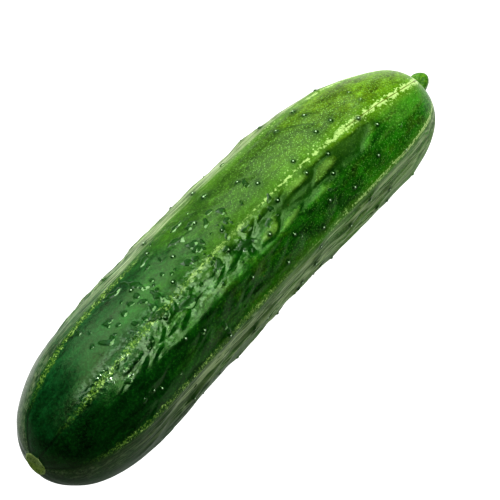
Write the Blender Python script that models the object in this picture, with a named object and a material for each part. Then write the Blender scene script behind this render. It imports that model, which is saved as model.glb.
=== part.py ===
# A slicing cucumber that lies on a table: the fruit, with its ribs, warts and blossom scar, and the stub of
# its stem. Metres, +Z up. +X runs along the fruit from the blossom end to the stem end.
# The origin is under the middle of the fruit, on the small flat spot that it rests on.

import bisect
import math
import random

import bmesh
import bpy
from mathutils import Vector, noise

# Driving dimensions of the fruit
LENGTH = 0.195
BLOSSOM_SIDE_RADIUS = 0.0255
STEM_SIDE_RADIUS = 0.0244
BLOSSOM_CAP_LENGTH = 0.048
BLOSSOM_CAP_POWER = 2.25
STEM_CAP_LENGTH = 0.078
STEM_CAP_POWER = 2.9
BOW = 0.0063
BOW_SKEW = 0.003
FLAT_DEPTH = 0.0005

# Both ends of the axis turn up a little, the stem end also sideways, and the scar faces slightly upwards.
END_BEND_LENGTH = 0.017
BLOSSOM_END_RISE = 0.003
STEM_END_RISE = 0.0018
STEM_END_SHIFT = 0.0018
SCAR_TILT = math.tan(math.radians(11))
SCAR_TILT_LENGTH = 0.01

# Where the pale stripes run. Each row holds one stripe's turn round the fruit, in degrees from the top
# towards -Y, at the blossom end, at the middle and at the stem end.
STRIPE_TURNS = (
    (15, 11, 10),
    (61, 67, 55),
    (118, 120, 112),
    (170, 172, 166),
    (222, 222, 218),
    (276, 272, 266),
    (326, 321, 312),
)

# Low ribs, most of them under a stripe, and one beside the top stripe. Each row holds a rib's turns at the
# same three places, and its heights there.
RIBS = (
    ((15, 11, 10), (0.0001, 0.0001, 0.0009)),
    ((26, 39, 28), (0.0003, 0.0011, 0.0001)),
    ((61, 69, 55), (0.0004, 0.0009, 0.0009)),
    ((118, 116, 112), (0.0007, 0.0008, 0.0009)),
    ((170, 172, 166), (0.0004, 0.0006, 0.0006)),
    ((222, 222, 218), (0.0004, 0.0008, 0.0008)),
    ((276, 272, 266), (0.0004, 0.0008, 0.0008)),
    ((318, 304, 316), (0.0008, 0.0012, 0.0003)),
)
RIB_WIDTH = 0.0042
RIB_ROUNDING = 0.0008
RIB_SINK = 0.0002
LUMP_HEIGHT = 0.0005
LUMP_LENGTH = 0.024
LUMP_WIDTH = 0.011

# The skin is drawn in to shallow creases where the stripes run into the scar.
CREASE_DEPTH = 0.0005
CREASE_MIDDLE = 0.003
CREASE_LENGTH = 0.0035
CREASE_SHARPNESS = 3

# Warts stand in rows between the stripes, and thin out towards the blossom end. Each is an eight-sided knob
# on a broad low mound.
WART_SEED = 16
WART_ROWS = 4
WARTS_FROM, WARTS_TO = -0.25 * LENGTH, 0.38 * LENGTH
WART_SPACING = (0.010, 0.030)
BLOSSOM_SIDE_SPREAD = 1.7
WART_DRIFT = 0.08
WART_ROOT_INSET = 0.0002
WART_RADIUS = 0.00125
WART_SHOULDER_INSET = 0.0006
WART_SHOULDER_HEIGHT = 0.0004
WART_TIP_HEIGHT = 0.00018
WART_FLOOR_CLEARANCE = 0.003
MOUND_HEIGHT = 0.00035
MOUND_RADIUS = 0.0034

# The corky scar at the blossom end and the seat of the stem, as pairs of depth from the end and radius
SCAR_RINGS = ((0.00025, 0.0), (0.0002, 0.0014), (0.0, 0.0034), (0.00012, 0.0042))
SCAR_RIM_RADIUS = 0.0047
STEM_SEAT_RINGS = ((0.0012, 0.0072), (0.0014, 0.0066))
STEM_SEAT_DEPTH = 0.0014
STEM_HOLLOW_RADIUS = 0.0078

# The fruit's grid of faces
COLUMNS = 52
RING_SPACING = 0.0036
MERIDIAN_SAMPLES = 4000

# The stub of the stem bends from the fruit's axis up and towards +Y. Its five ridges spread out at the foot.
STEM_GAP = 0.0003
STEM_BEND = math.radians(52)
STEM_BEND_RADIUS = 0.0088
STEM_LEAN = math.radians(54)
STEM_SIDES = 30
STEM_RIDGES = 5
STEM_RIDGE_TURN = math.radians(30)
STEM_FOOT_RIDGE_SHARE = 0.26
STEM_NECK_RIDGE_SHARE = 0.07
STEM_FOOT_SHARE = 0.3
# Pairs of share of the stem's length and radius: the spread foot, the neck, the swollen end, the cut face
STEM_PROFILE = (
    (0.0, 0.005),
    (0.07, 0.0048),
    (0.16, 0.0041),
    (0.3, 0.0036),
    (0.48, 0.0034),
    (0.66, 0.0036),
    (0.82, 0.0035),
    (0.93, 0.0029),
    (1.0, 0.0017),
)

SHARP_EDGE_ANGLE = math.radians(50)


def clear_scene():
    for thing in list(bpy.data.objects):
        bpy.data.objects.remove(thing)


def smooth_step(value):
    value = min(max(value, 0.0), 1.0)
    return value * value * (3 - 2 * value)


def belly_radius(x):
    """The radius without the rounded ends, which narrows a little towards the stem."""
    return BLOSSOM_SIDE_RADIUS + (STEM_SIDE_RADIUS - BLOSSOM_SIDE_RADIUS) * (x / LENGTH + 0.5)


def cap_share(depth, cap_length, power):
    """How much of the belly's radius is left at a depth from the end: a quarter of a superellipse."""
    inward = 1 - min(max(depth / cap_length, 0.0), 1.0)
    return (1 - inward**power) ** (1 / power)


def outline_radius(x):
    blossom = cap_share(LENGTH / 2 + x, BLOSSOM_CAP_LENGTH, BLOSSOM_CAP_POWER)
    stem = cap_share(LENGTH / 2 - x, STEM_CAP_LENGTH, STEM_CAP_POWER)
    return belly_radius(x) * blossom * stem


def end_bend(depth, length):
    """How far something has bent at a depth from one end: 0 along the belly and 1 at the end."""
    return max(1 - depth / length, 0.0) ** 2


def axis_point(x):
    """The middle of the fruit's cross-section: a gentle bow in plan, level on its underside."""
    along = 2 * x / LENGTH
    at_blossom = end_bend(LENGTH / 2 + x, END_BEND_LENGTH)
    at_stem = end_bend(LENGTH / 2 - x, END_BEND_LENGTH)
    y = -BOW * along**2 + BOW_SKEW * along * (1 - along**2) + STEM_END_SHIFT * at_stem
    z = belly_radius(x) - FLAT_DEPTH + BLOSSOM_END_RISE * at_blossom + STEM_END_RISE * at_stem
    return Vector((x, y, z))


def curve_through(three, x):
    """A smooth curve through three values, for the blossom end, the middle and the stem end."""
    blossom, middle, stem = three
    along = 2 * x / LENGTH
    return middle + (stem - blossom) / 2 * along + ((blossom + stem) / 2 - middle) * along**2


def stripe_turn(number, x):
    """The turn of one stripe at x, in degrees. Numbers past the last stripe go round again."""
    lap, index = divmod(number, len(STRIPE_TURNS))
    return curve_through(STRIPE_TURNS[index], x) + 360 * lap


def turned_from(turn, other):
    """The angle from one turn to another the short way round, in radians."""
    return math.radians((turn - other + 180) % 360 - 180)


def share_between_stripes(x, turn):
    """0 on a stripe, 1 on the next one, for a turn in degrees."""
    for number in range(-1, len(STRIPE_TURNS)):
        first, second = stripe_turn(number, x), stripe_turn(number + 1, x)
        if first <= turn < second:
            return (turn - first) / (second - first)
    return share_between_stripes(x, turn - 360)


def rib_relief(x, turn, radius):
    """The height of all ribs, each with a rounded crest and slopes that run out."""
    height = -RIB_SINK
    for turns, crest_heights in RIBS:
        off_crest = radius * turned_from(turn, curve_through(turns, x))
        fall = math.hypot(off_crest, RIB_ROUNDING) - RIB_ROUNDING
        height += curve_through(crest_heights, x) * math.exp(-fall / RIB_WIDTH)
    return height


def lump_relief(x, turn, radius):
    around = math.radians(turn)
    across = radius * math.sin(around) / LUMP_WIDTH
    up = radius * math.cos(around) / LUMP_WIDTH
    return LUMP_HEIGHT * noise.noise(Vector((x / LUMP_LENGTH, across, up)))


def mound_relief(x, turn, radius, warts):
    height = 0.0
    for wart_x, wart_turn in warts:
        distance = math.hypot(x - wart_x, radius * turned_from(turn, wart_turn))
        height += MOUND_HEIGHT * math.exp(-((distance / MOUND_RADIUS) ** 2))
    return height


def crease_relief(x, turn):
    depth = x + LENGTH / 2
    nearness = math.exp(-(((depth - CREASE_MIDDLE) / CREASE_LENGTH) ** 2))
    on_stripe = math.cos(math.pi * share_between_stripes(x, turn)) ** 2
    return -CREASE_DEPTH * nearness * on_stripe**CREASE_SHARPNESS


def skin_point(x, turn, radius, warts):
    """A point of the skin: the round outline with its relief, and no lower than the resting spot."""
    around = math.radians(turn)
    grown = smooth_step(radius / belly_radius(x))
    ribs_and_lumps = rib_relief(x, turn, radius) + lump_relief(x, turn, radius)
    raised = ribs_and_lumps + mound_relief(x, turn, radius, warts)
    reach = radius + crease_relief(x, turn) + grown * raised
    above_axis = reach * math.cos(around)
    point = axis_point(x) + Vector((0, -reach * math.sin(around), above_axis))
    point.x += SCAR_TILT * end_bend(LENGTH / 2 + x, SCAR_TILT_LENGTH) * above_axis
    point.z = max(point.z, 0.0)
    return point


def body_stations():
    """Pairs of x and radius, evenly spaced on the outline between the scar's rim and the stem's hollow."""
    samples = []
    for step in range(MERIDIAN_SAMPLES + 1):
        x = -LENGTH / 2 * math.cos(math.pi * step / MERIDIAN_SAMPLES)
        radius = outline_radius(x)
        if (x < 0 and radius >= SCAR_RIM_RADIUS) or (x >= 0 and radius >= STEM_HOLLOW_RADIUS):
            samples.append((x, radius))
    travelled = [0.0]
    for before, after in zip(samples, samples[1:]):
        travelled.append(travelled[-1] + math.dist(before, after))
    count = round(travelled[-1] / RING_SPACING)
    stations = []
    for ring in range(count + 1):
        index = bisect.bisect_left(travelled, travelled[-1] * ring / count)
        stations.append(samples[min(index, len(samples) - 1)])
    return stations


def all_stations():
    scar = [(-LENGTH / 2 + depth, radius) for depth, radius in SCAR_RINGS[1:]]
    seat = [(LENGTH / 2 - depth, radius) for depth, radius in STEM_SEAT_RINGS]
    return scar + body_stations() + seat


def touches(cell, other):
    """Whether two cells of the grid share an edge or a corner."""
    apart = (cell[1] - other[1]) % COLUMNS
    return abs(cell[0] - other[0]) <= 1 and min(apart, COLUMNS - apart) <= 1


def wart_cells(stations):
    """The grid cells that carry a wart, as pairs of ring and column, row after row."""
    draw = random.Random(WART_SEED)
    cells = []
    for stripe in range(len(STRIPE_TURNS)):
        for row in range(WART_ROWS):
            x = WARTS_FROM + draw.uniform(0, WART_SPACING[1])
            while x < WARTS_TO:
                share = (row + 0.5) / WART_ROWS + draw.uniform(-WART_DRIFT, WART_DRIFT)
                first, second = stripe_turn(stripe, x), stripe_turn(stripe + 1, x)
                column = int((first + (second - first) * share) % 360 / 360 * COLUMNS)
                ring = max(index for index, station in enumerate(stations) if station[0] <= x)
                if not any(touches((ring, column), cell) for cell in cells):
                    cells.append((ring, column))
                blossom_side = smooth_step(0.5 - 2 * x / (WARTS_TO - WARTS_FROM))
                x += draw.uniform(*WART_SPACING) * (1 + (BLOSSOM_SIDE_SPREAD - 1) * blossom_side)
    return cells


def wart_place(cell, stations):
    """The x and the turn, in degrees, of the middle of a grid cell."""
    ring, column = cell
    return (stations[ring][0] + stations[ring + 1][0]) / 2, (column + 0.5) * 360 / COLUMNS


def off_the_floor(place):
    x, turn = place
    lowest = axis_point(x).z + outline_radius(x) * math.cos(math.radians(turn))
    return lowest > WART_FLOOR_CLEARANCE


def raise_wart(mesh, face):
    """Turns a four-sided face into an eight-sided knob with a blunt tip."""
    bmesh.ops.inset_individual(mesh, faces=[face], thickness=WART_ROOT_INSET)
    for edge in list(face.edges):
        bmesh.utils.edge_split(edge, edge.verts[0], 0.5)
    centre = face.calc_center_median()
    normal = face.normal.copy()
    for corner in face.verts:
        outward = corner.co - centre
        outward -= outward.dot(normal) * normal
        corner.co = centre + WART_RADIUS * outward.normalized()
    bmesh.ops.inset_individual(
        mesh, faces=[face], thickness=WART_SHOULDER_INSET, depth=WART_SHOULDER_HEIGHT
    )
    bmesh.ops.poke(mesh, faces=[face], offset=WART_TIP_HEIGHT)


def close_end(mesh, ring, centre):
    """Fans one end of a ring grid to a point on its axis."""
    tip = mesh.verts.new(centre)
    for here, there in zip(ring, ring[1:] + ring[:1]):
        mesh.faces.new((tip, here, there))


def make_fruit():
    stations = all_stations()
    places = {cell: wart_place(cell, stations) for cell in wart_cells(stations)}
    places = {cell: place for cell, place in places.items() if off_the_floor(place)}
    warts = list(places.values())
    mesh = bmesh.new()
    rings = []
    for x, radius in stations:
        turns = [360 * column / COLUMNS for column in range(COLUMNS)]
        rings.append([mesh.verts.new(skin_point(x, turn, radius, warts)) for turn in turns])
    faces = {}
    for index, (ring, following) in enumerate(zip(rings, rings[1:])):
        for column in range(COLUMNS):
            after = (column + 1) % COLUMNS
            corners = (ring[column], ring[after], following[after], following[column])
            faces[index, column] = mesh.faces.new(corners)
    close_end(mesh, rings[0][::-1], axis_point(-LENGTH / 2 + SCAR_RINGS[0][0]))
    close_end(mesh, rings[-1], axis_point(LENGTH / 2 - STEM_SEAT_DEPTH))
    mesh.normal_update()
    for cell in places:
        raise_wart(mesh, faces[cell])
    print(f"fruit: {len(stations)} rings of {COLUMNS} points, {len(warts)} warts")
    return finish_object("fruit", mesh, skin_material())


def stem_ring(share, radius):
    """The points round the stem at a share of its length: a ridged outline, square to its bent path."""
    outward = Vector((1, 0, 0))
    sideways = Vector((0, math.cos(STEM_LEAN), math.sin(STEM_LEAN)))
    turned = STEM_BEND * share
    centre = axis_point(LENGTH / 2 - STEM_SEAT_DEPTH) + STEM_GAP * outward
    centre += STEM_BEND_RADIUS * (math.sin(turned) * outward + (1 - math.cos(turned)) * sideways)
    heading = math.cos(turned) * outward + math.sin(turned) * sideways
    hinge = sideways.cross(outward)
    third = hinge.cross(heading)
    at_foot = smooth_step(1 - share / STEM_FOOT_SHARE)
    ridge_share = STEM_NECK_RIDGE_SHARE + (STEM_FOOT_RIDGE_SHARE - STEM_NECK_RIDGE_SHARE) * at_foot
    points = []
    for index in range(STEM_SIDES):
        around = 2 * math.pi * index / STEM_SIDES
        reach = radius * (1 + ridge_share * math.cos(STEM_RIDGES * (around - STEM_RIDGE_TURN)))
        points.append(centre + reach * (math.cos(around) * hinge + math.sin(around) * third))
    return points


def make_stem():
    mesh = bmesh.new()
    rings = [[mesh.verts.new(point) for point in stem_ring(*row)] for row in STEM_PROFILE]
    for ring, following in zip(rings, rings[1:]):
        for index in range(STEM_SIDES):
            after = (index + 1) % STEM_SIDES
            mesh.faces.new((ring[index], ring[after], following[after], following[index]))
    mesh.faces.new(reversed(rings[0]))
    mesh.faces.new(rings[-1])
    bmesh.ops.recalc_face_normals(mesh, faces=mesh.faces)
    return finish_object("stem", mesh, stem_material())


def plain_material(name, colour, roughness):
    material = bpy.data.materials.new(name)
    material.use_nodes = True
    shader = material.node_tree.nodes["Principled BSDF"]
    shader.inputs["Base Color"].default_value = (*colour, 1)
    shader.inputs["Roughness"].default_value = roughness
    shader.inputs["Metallic"].default_value = 0
    return material


def skin_material():
    return plain_material("cucumber_skin", (0.03, 0.13, 0.015), 0.3)


def stem_material():
    return plain_material("stem_green", (0.12, 0.33, 0.03), 0.5)


def finish_object(name, mesh, material):
    data = bpy.data.meshes.new(name)
    mesh.to_mesh(data)
    mesh.free()
    data.shade_smooth()
    data.set_sharp_from_angle(angle=SHARP_EDGE_ANGLE)
    data.materials.append(material)
    thing = bpy.data.objects.new(name, data)
    bpy.context.scene.collection.objects.link(thing)
    return thing


clear_scene()
make_fruit()
make_stem()
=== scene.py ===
# %% [markdown]
# A slicing cucumber lies on plain white. It is one fruit with low ribs, small warts and a corky scar, and
# the stub of the stem that it hung on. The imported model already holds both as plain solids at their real
# size. This lesson gives them a fine skin, colours and wetness, and then lights and photographs them.
#
# A skin like this could be sculpted by hand, but here each form is a formula of two numbers: how far along
# the fruit a point lies, and how far round it. The same two numbers then place the stripes, warts and
# drops, so shape and colour always agree.

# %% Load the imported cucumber
import bisect
import math
import random

import bmesh
import bpy
import numpy as np
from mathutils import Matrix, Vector, noise


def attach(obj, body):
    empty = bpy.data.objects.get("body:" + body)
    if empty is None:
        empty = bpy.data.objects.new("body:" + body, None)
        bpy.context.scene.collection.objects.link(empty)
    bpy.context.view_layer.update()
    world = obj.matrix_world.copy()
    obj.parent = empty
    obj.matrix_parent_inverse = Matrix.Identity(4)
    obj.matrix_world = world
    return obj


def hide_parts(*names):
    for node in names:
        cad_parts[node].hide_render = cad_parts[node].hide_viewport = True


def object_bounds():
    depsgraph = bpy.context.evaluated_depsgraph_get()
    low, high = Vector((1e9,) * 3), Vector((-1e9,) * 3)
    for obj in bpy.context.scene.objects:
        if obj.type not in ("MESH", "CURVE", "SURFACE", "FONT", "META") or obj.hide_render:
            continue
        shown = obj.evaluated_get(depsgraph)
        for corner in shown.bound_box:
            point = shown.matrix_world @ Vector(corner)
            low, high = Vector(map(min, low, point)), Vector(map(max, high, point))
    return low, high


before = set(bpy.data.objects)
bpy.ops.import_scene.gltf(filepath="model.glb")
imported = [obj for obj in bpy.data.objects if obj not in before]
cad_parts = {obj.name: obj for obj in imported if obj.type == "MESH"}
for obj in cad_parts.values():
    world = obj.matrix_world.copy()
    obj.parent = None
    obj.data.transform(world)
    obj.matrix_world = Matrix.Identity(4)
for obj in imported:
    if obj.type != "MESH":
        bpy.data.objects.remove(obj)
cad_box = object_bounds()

corners_mm = [tuple(round(1000 * side, 1) for side in corner) for corner in cad_box]
print("nodes:", sorted(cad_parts), "box in millimetres:", corners_mm)

# %% [markdown]
# The camera comes first, because it decides which details are worth making. It looks down on the fruit from
# the side on which +X runs to the upper right of the picture. A long lens far away keeps both ends nearly
# the same size, as in a product photograph.

# %% Place the camera
CAMERA_AZIMUTH = math.radians(-48.42)
CAMERA_ELEVATION = math.radians(60)
CAMERA_DISTANCE = 0.75
# Lens and film are in millimetres, as on a real camera. All other sizes in this lesson are in metres.
CAMERA_LENS = 158.8
CAMERA_FILM = 36
AIM = Vector((0.0079, -0.0055, 0.0287))


def direction_from(azimuth, elevation):
    """The unit vector that points from the fruit towards a viewer. Azimuth 0 stands at -Y."""
    level = math.cos(elevation)
    return Vector((math.sin(azimuth) * level, -math.cos(azimuth) * level, math.sin(elevation)))


def look_at(thing, place, target):
    """Puts a camera or a light at a place, with its -Z axis towards the target."""
    thing.location = place
    thing.rotation_euler = (target - place).to_track_quat("-Z", "Y").to_euler()


def add_to_scene(name, data):
    """Makes an object from a mesh, a camera or a light and puts it in the scene."""
    thing = bpy.data.objects.new(name, data)
    bpy.context.scene.collection.objects.link(thing)
    return thing


camera = add_to_scene("camera", bpy.data.cameras.new("camera"))
camera.data.lens = CAMERA_LENS
camera.data.sensor_width = CAMERA_FILM
look_at(camera, AIM + CAMERA_DISTANCE * direction_from(CAMERA_AZIMUTH, CAMERA_ELEVATION), AIM)
bpy.context.scene.camera = camera
print("camera at", tuple(round(side, 3) for side in camera.location))

# %% [markdown]
# The fruit is a round bar with two rounded ends, on an axis that bows a little to one side. Its outline
# could be traced point by point. Two superellipse caps on a belly that narrows slowly say the same with a
# handful of numbers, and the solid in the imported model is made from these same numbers, so the fine skin
# fits it everywhere.

# %% The plain form of the fruit
LENGTH = 0.195
BLOSSOM_SIDE_RADIUS = 0.0255
STEM_SIDE_RADIUS = 0.0244
BLOSSOM_CAP_LENGTH = 0.048
BLOSSOM_CAP_POWER = 2.25
STEM_CAP_LENGTH = 0.078
STEM_CAP_POWER = 2.9
BOW = 0.0063
BOW_SKEW = 0.003
FLAT_DEPTH = 0.0005
END_BEND_LENGTH = 0.017
BLOSSOM_END_RISE = 0.0030
STEM_END_RISE = 0.0018
STEM_END_SHIFT = 0.0018
SCAR_TILT = math.tan(math.radians(11))
SCAR_TILT_LENGTH = 0.010


def smooth_step(value):
    """0 below 0 and 1 above 1, with a soft step between."""
    value = np.clip(value, 0, 1)
    return value * value * (3 - 2 * value)


def belly_radius(x):
    """The radius without its two caps. It narrows evenly towards the stem."""
    return BLOSSOM_SIDE_RADIUS + (STEM_SIDE_RADIUS - BLOSSOM_SIDE_RADIUS) * (x / LENGTH + 0.5)


def cap_share(depth, cap_length, power):
    """How far a superellipse cap has opened at a depth from its tip, from 0 to 1."""
    inward = 1 - np.clip(depth / cap_length, 0, 1)
    return (1 - inward**power) ** (1 / power)


def outline_radius(x):
    """The plain radius at x, with both caps."""
    blossom = cap_share(LENGTH / 2 + x, BLOSSOM_CAP_LENGTH, BLOSSOM_CAP_POWER)
    stem = cap_share(LENGTH / 2 - x, STEM_CAP_LENGTH, STEM_CAP_POWER)
    return belly_radius(x) * blossom * stem


def end_bend(depth, length=END_BEND_LENGTH):
    """How far the axis has bent at a depth from one end: 0 along the belly and 1 at the end."""
    return np.clip(1 - depth / length, 0, 1) ** 2


def axis_point(x):
    """The middle of the cross-section at x, as x, y and z."""
    along = 2 * x / LENGTH
    at_blossom, at_stem = end_bend(LENGTH / 2 + x), end_bend(LENGTH / 2 - x)
    y = -BOW * along**2 + BOW_SKEW * along * (1 - along**2) + STEM_END_SHIFT * at_stem
    z = belly_radius(x) - FLAT_DEPTH + BLOSSOM_END_RISE * at_blossom + STEM_END_RISE * at_stem
    return x, y, z


print("radius at the middle:", round(1000 * float(outline_radius(np.array(0.0))), 2), "mm")

# %% [markdown]
# Pale stripes run from end to end, along the low ribs or close beside them. Each could be drawn as a curve
# of its own, but all they do is drift a little round the fruit. So a stripe is kept as three turns round
# it, in degrees from the top towards -Y: at the blossom end, at the middle and at the stem end. A curve
# through the three gives every place between. One more function says where a point lies between two
# stripes, which the creases at the scar need.

# %% Where the stripes run
STRIPE_TURNS = (
    (15, 11, 10),
    (61, 67, 55),
    (118, 120, 112),
    (170, 172, 166),
    (222, 222, 218),
    (276, 272, 266),
    (326, 321, 312),
)


def curve_factors(three):
    """The constant, linear and square factors of a curve through three values, from x = -1 to x = 1."""
    blossom, middle, stem = three
    return middle, (stem - blossom) / 2, (blossom + stem) / 2 - middle


def curve_through(three, x):
    """The value at x of a curve through three values, for a number or an array."""
    constant, linear, square = curve_factors(three)
    along = 2 * x / LENGTH
    return constant + linear * along + square * along**2


def stripe_turn(number, x):
    """The turn of a stripe at x. Numbers past the last stripe go on with the next lap."""
    lap, index = divmod(number, len(STRIPE_TURNS))
    return curve_through(STRIPE_TURNS[index], x) + 360 * lap


def share_between_stripes(x, turn):
    """0 on a stripe and 1 on the next one, for arrays of x and of turns in degrees."""
    turn = turn % 360
    share = np.zeros_like(x)
    for number in range(-1, len(STRIPE_TURNS) + 1):
        first, second = stripe_turn(number, x), stripe_turn(number + 1, x)
        between = (first <= turn) & (turn < second)
        share[between] = ((turn - first) / (second - first))[between]
    return share


print("stripes:", len(STRIPE_TURNS), "the top one at", STRIPE_TURNS[0], "degrees")

# %% [markdown]
# Warts stand in rows between the stripes. Placed by hand they would look even and false, so a seeded draw
# walks along each row with uneven steps. It has to give the same places as the solid has, so it uses the
# solid's coarse grid of faces: a wart stands in the middle of the face that it falls on. Two more warts, in
# a dent near the blossom end, are listed one by one.

# %% The coarse grid of the solid
# The rings of the scar are pairs of depth and radius, and so are those of the seat of the stem
COARSE_COLUMNS = 52
COARSE_SPACING = 0.0036
MERIDIAN_SAMPLES = 4000
SCAR_RINGS = ((0.00025, 0.0), (0.0002, 0.0014), (0.0, 0.0034), (0.00012, 0.0042))
SCAR_RIM_RADIUS = 0.0047
STEM_SEAT_RINGS = ((0.0012, 0.0072), (0.0014, 0.0066))
STEM_SEAT_DEPTH = 0.0014
STEM_HOLLOW_RADIUS = 0.0078


def body_stations(spacing):
    """Rows of x and radius, evenly spaced on the outline between the scar's rim and the stem's hollow."""
    x = -LENGTH / 2 * np.cos(np.pi * np.arange(MERIDIAN_SAMPLES + 1) / MERIDIAN_SAMPLES)
    radius = outline_radius(x)
    kept = np.where(x < 0, radius >= SCAR_RIM_RADIUS, radius >= STEM_HOLLOW_RADIUS)
    samples = np.column_stack((x[kept], radius[kept]))
    steps = np.hypot(*np.diff(samples, axis=0).T)
    travelled = np.concatenate(([0.0], np.cumsum(steps)))
    count = round(travelled[-1] / spacing)
    found = np.searchsorted(travelled, travelled[-1] * np.arange(count + 1) / count)
    return samples[np.minimum(found, len(samples) - 1)]


def all_stations(spacing):
    """Rows of x and radius from the scar to the seat of the stem."""
    scar = [(-LENGTH / 2 + depth, radius) for depth, radius in SCAR_RINGS[1:]]
    seat = [(LENGTH / 2 - depth, radius) for depth, radius in STEM_SEAT_RINGS]
    return np.concatenate((scar, body_stations(spacing), seat))


coarse_x = list(all_stations(COARSE_SPACING)[:, 0])
print("coarse grid:", len(coarse_x), "rings of", COARSE_COLUMNS)

# %% [markdown]
# Now the draw itself. Four rows of warts run between each two stripes. A step along a row is never less
# than a centimetre, and grows longer in the blossom half, where the warts stand farther apart. A wart that
# would touch another is left out, and so is one that the fruit would have to stand on.

# %% Where the warts stand
WART_SEED = 16
WART_ROWS = 4
WARTS_FROM, WARTS_TO = -0.25 * LENGTH, 0.38 * LENGTH
WART_SPACING = (0.010, 0.030)
BLOSSOM_SIDE_SPREAD = 1.7
WART_DRIFT = 0.08
WART_FLOOR_CLEARANCE = 0.003


def touches(cell, other):
    """Whether two cells of the coarse grid share an edge or a corner."""
    apart = (cell[1] - other[1]) % COARSE_COLUMNS
    return abs(cell[0] - other[0]) <= 1 and min(apart, COARSE_COLUMNS - apart) <= 1


def wart_cells():
    """Pairs of ring and column in the coarse grid, one for each wart. No two of them touch."""
    draw = random.Random(WART_SEED)
    cells = []
    for stripe in range(len(STRIPE_TURNS)):
        for row in range(WART_ROWS):
            x = WARTS_FROM + draw.uniform(0, WART_SPACING[1])
            while x < WARTS_TO:
                share = (row + 0.5) / WART_ROWS + draw.uniform(-WART_DRIFT, WART_DRIFT)
                first, second = stripe_turn(stripe, x), stripe_turn(stripe + 1, x)
                column = int((first + (second - first) * share) % 360 / 360 * COARSE_COLUMNS)
                ring = bisect.bisect_right(coarse_x, x) - 1
                if not any(touches((ring, column), cell) for cell in cells):
                    cells.append((ring, column))
                blossom_side = float(smooth_step(0.5 - 2 * x / (WARTS_TO - WARTS_FROM)))
                x += draw.uniform(*WART_SPACING) * (1 + (BLOSSOM_SIDE_SPREAD - 1) * blossom_side)
    return cells


def wart_places():
    """Rows of x and turn, one for each wart that doesn't stand on the floor."""
    places = []
    for ring, column in wart_cells():
        x = (coarse_x[ring] + coarse_x[ring + 1]) / 2
        turn = (column + 0.5) * 360 / COARSE_COLUMNS
        lowest = axis_point(x)[2] + outline_radius(x) * math.cos(math.radians(turn))
        if lowest > WART_FLOOR_CLEARANCE:
            places.append((x, turn))
    return np.array(places)


# The two warts in the dent, as share along the fruit and turn
PIT_WARTS = ((0.207, 47.7), (0.221, 51.6))
warts = np.vstack((wart_places(), [((share - 0.5) * LENGTH, turn) for share, turn in PIT_WARTS]))
print("warts:", len(warts))

# %% [markdown]
# The skin's relief is a sum of small heights: the ribs, broad soft lumps, a dent, and the creases where the
# stripes run into the scar. Each one is a function of its own, so that it can be looked at and tuned alone.
# Bump mapping alone would be cheaper, but it never shows on the outline, and this fruit's outline is
# plainly uneven.

# %% Ribs, lumps, a dent and creases
# For each rib: its turns at the blossom end, the middle and the stem end, and its heights there in mm
RIBS = (
    ((15, 11, 10), (0.1, 0.1, 0.9)),
    ((26, 39, 28), (0.3, 1.1, 0.1)),
    ((61, 69, 55), (0.4, 0.9, 0.9)),
    ((118, 116, 112), (0.7, 0.8, 0.9)),
    ((170, 172, 166), (0.4, 0.6, 0.6)),
    ((222, 222, 218), (0.4, 0.8, 0.8)),
    ((276, 272, 266), (0.4, 0.8, 0.8)),
    ((318, 304, 316), (0.8, 1.2, 0.3)),
)
RIB_WIDTH = 0.0042
RIB_ROUNDING = 0.0008
RIB_SINK = 0.0002
LUMP_HEIGHT = 0.0005
LUMP_LENGTH = 0.024
LUMP_WIDTH = 0.011
# The dent's share along the fruit, its turn, and its length and width
PIT = (0.214, 49.5, 0.0040, 0.0018)
PIT_DEPTH = 0.0009
CREASE_DEPTH = 0.0005
CREASE_MIDDLE = 0.003
CREASE_LENGTH = 0.0035
CREASE_SHARPNESS = 3


def noise_at(*sides):
    """Smooth noise from about -1 to 1, for arrays of the three sides of a point."""
    return np.array([noise.noise(Vector(point)) for point in np.column_stack(sides)])


def turned_from(turn, other):
    """How many degrees one turn is past another, from -180 to 180."""
    return (turn - other + 180) % 360 - 180


def rib_relief(x, turn, radius):
    """Each rib falls off evenly to both sides, and is rounded on its crest."""
    relief = np.full_like(x, -RIB_SINK)
    for turns, heights in RIBS:
        off = np.radians(turned_from(turn, curve_through(turns, x))) * radius
        fall = np.hypot(off, RIB_ROUNDING) - RIB_ROUNDING
        relief += curve_through(heights, x) / 1000 * np.exp(-fall / RIB_WIDTH)
    return relief


def lump_relief(x, turn, radius):
    """Broad, shallow unevenness, longer along the fruit than round it."""
    around = np.radians(turn)
    across = radius * np.sin(around) / LUMP_WIDTH
    up = radius * np.cos(around) / LUMP_WIDTH
    return LUMP_HEIGHT * noise_at(x / LUMP_LENGTH, across, up)


def pit_relief(x, turn, radius):
    """A dent in the blossom half, with two warts in it."""
    share, place_turn, length, width = PIT
    along = (x - (share - 0.5) * LENGTH) / length
    across = radius * np.radians(turned_from(turn, place_turn)) / width
    return -PIT_DEPTH * np.exp(-(along**2) - across**2)


def crease_relief(x, turn):
    """A fold along each stripe, close to the scar."""
    depth = x + LENGTH / 2
    nearness = np.exp(-(((depth - CREASE_MIDDLE) / CREASE_LENGTH) ** 2))
    on_stripe = np.cos(np.pi * share_between_stripes(x, turn)) ** 2
    return -CREASE_DEPTH * nearness * on_stripe**CREASE_SHARPNESS


print("ribs:", len(RIBS), "the highest", max(max(heights) for turns, heights in RIBS), "mm")

# %% [markdown]
# Close up, a wart is a low mound with a shiny knob of half a millimetre on it, and a shallow ring round the
# knob. Small balls could be set on the skin, but a real wart grows out of it without a seam. So each wart
# is three smooth falls of one distance, added to the skin's own height. The distance to the nearest wart is
# kept, because the paint needs it.

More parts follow.
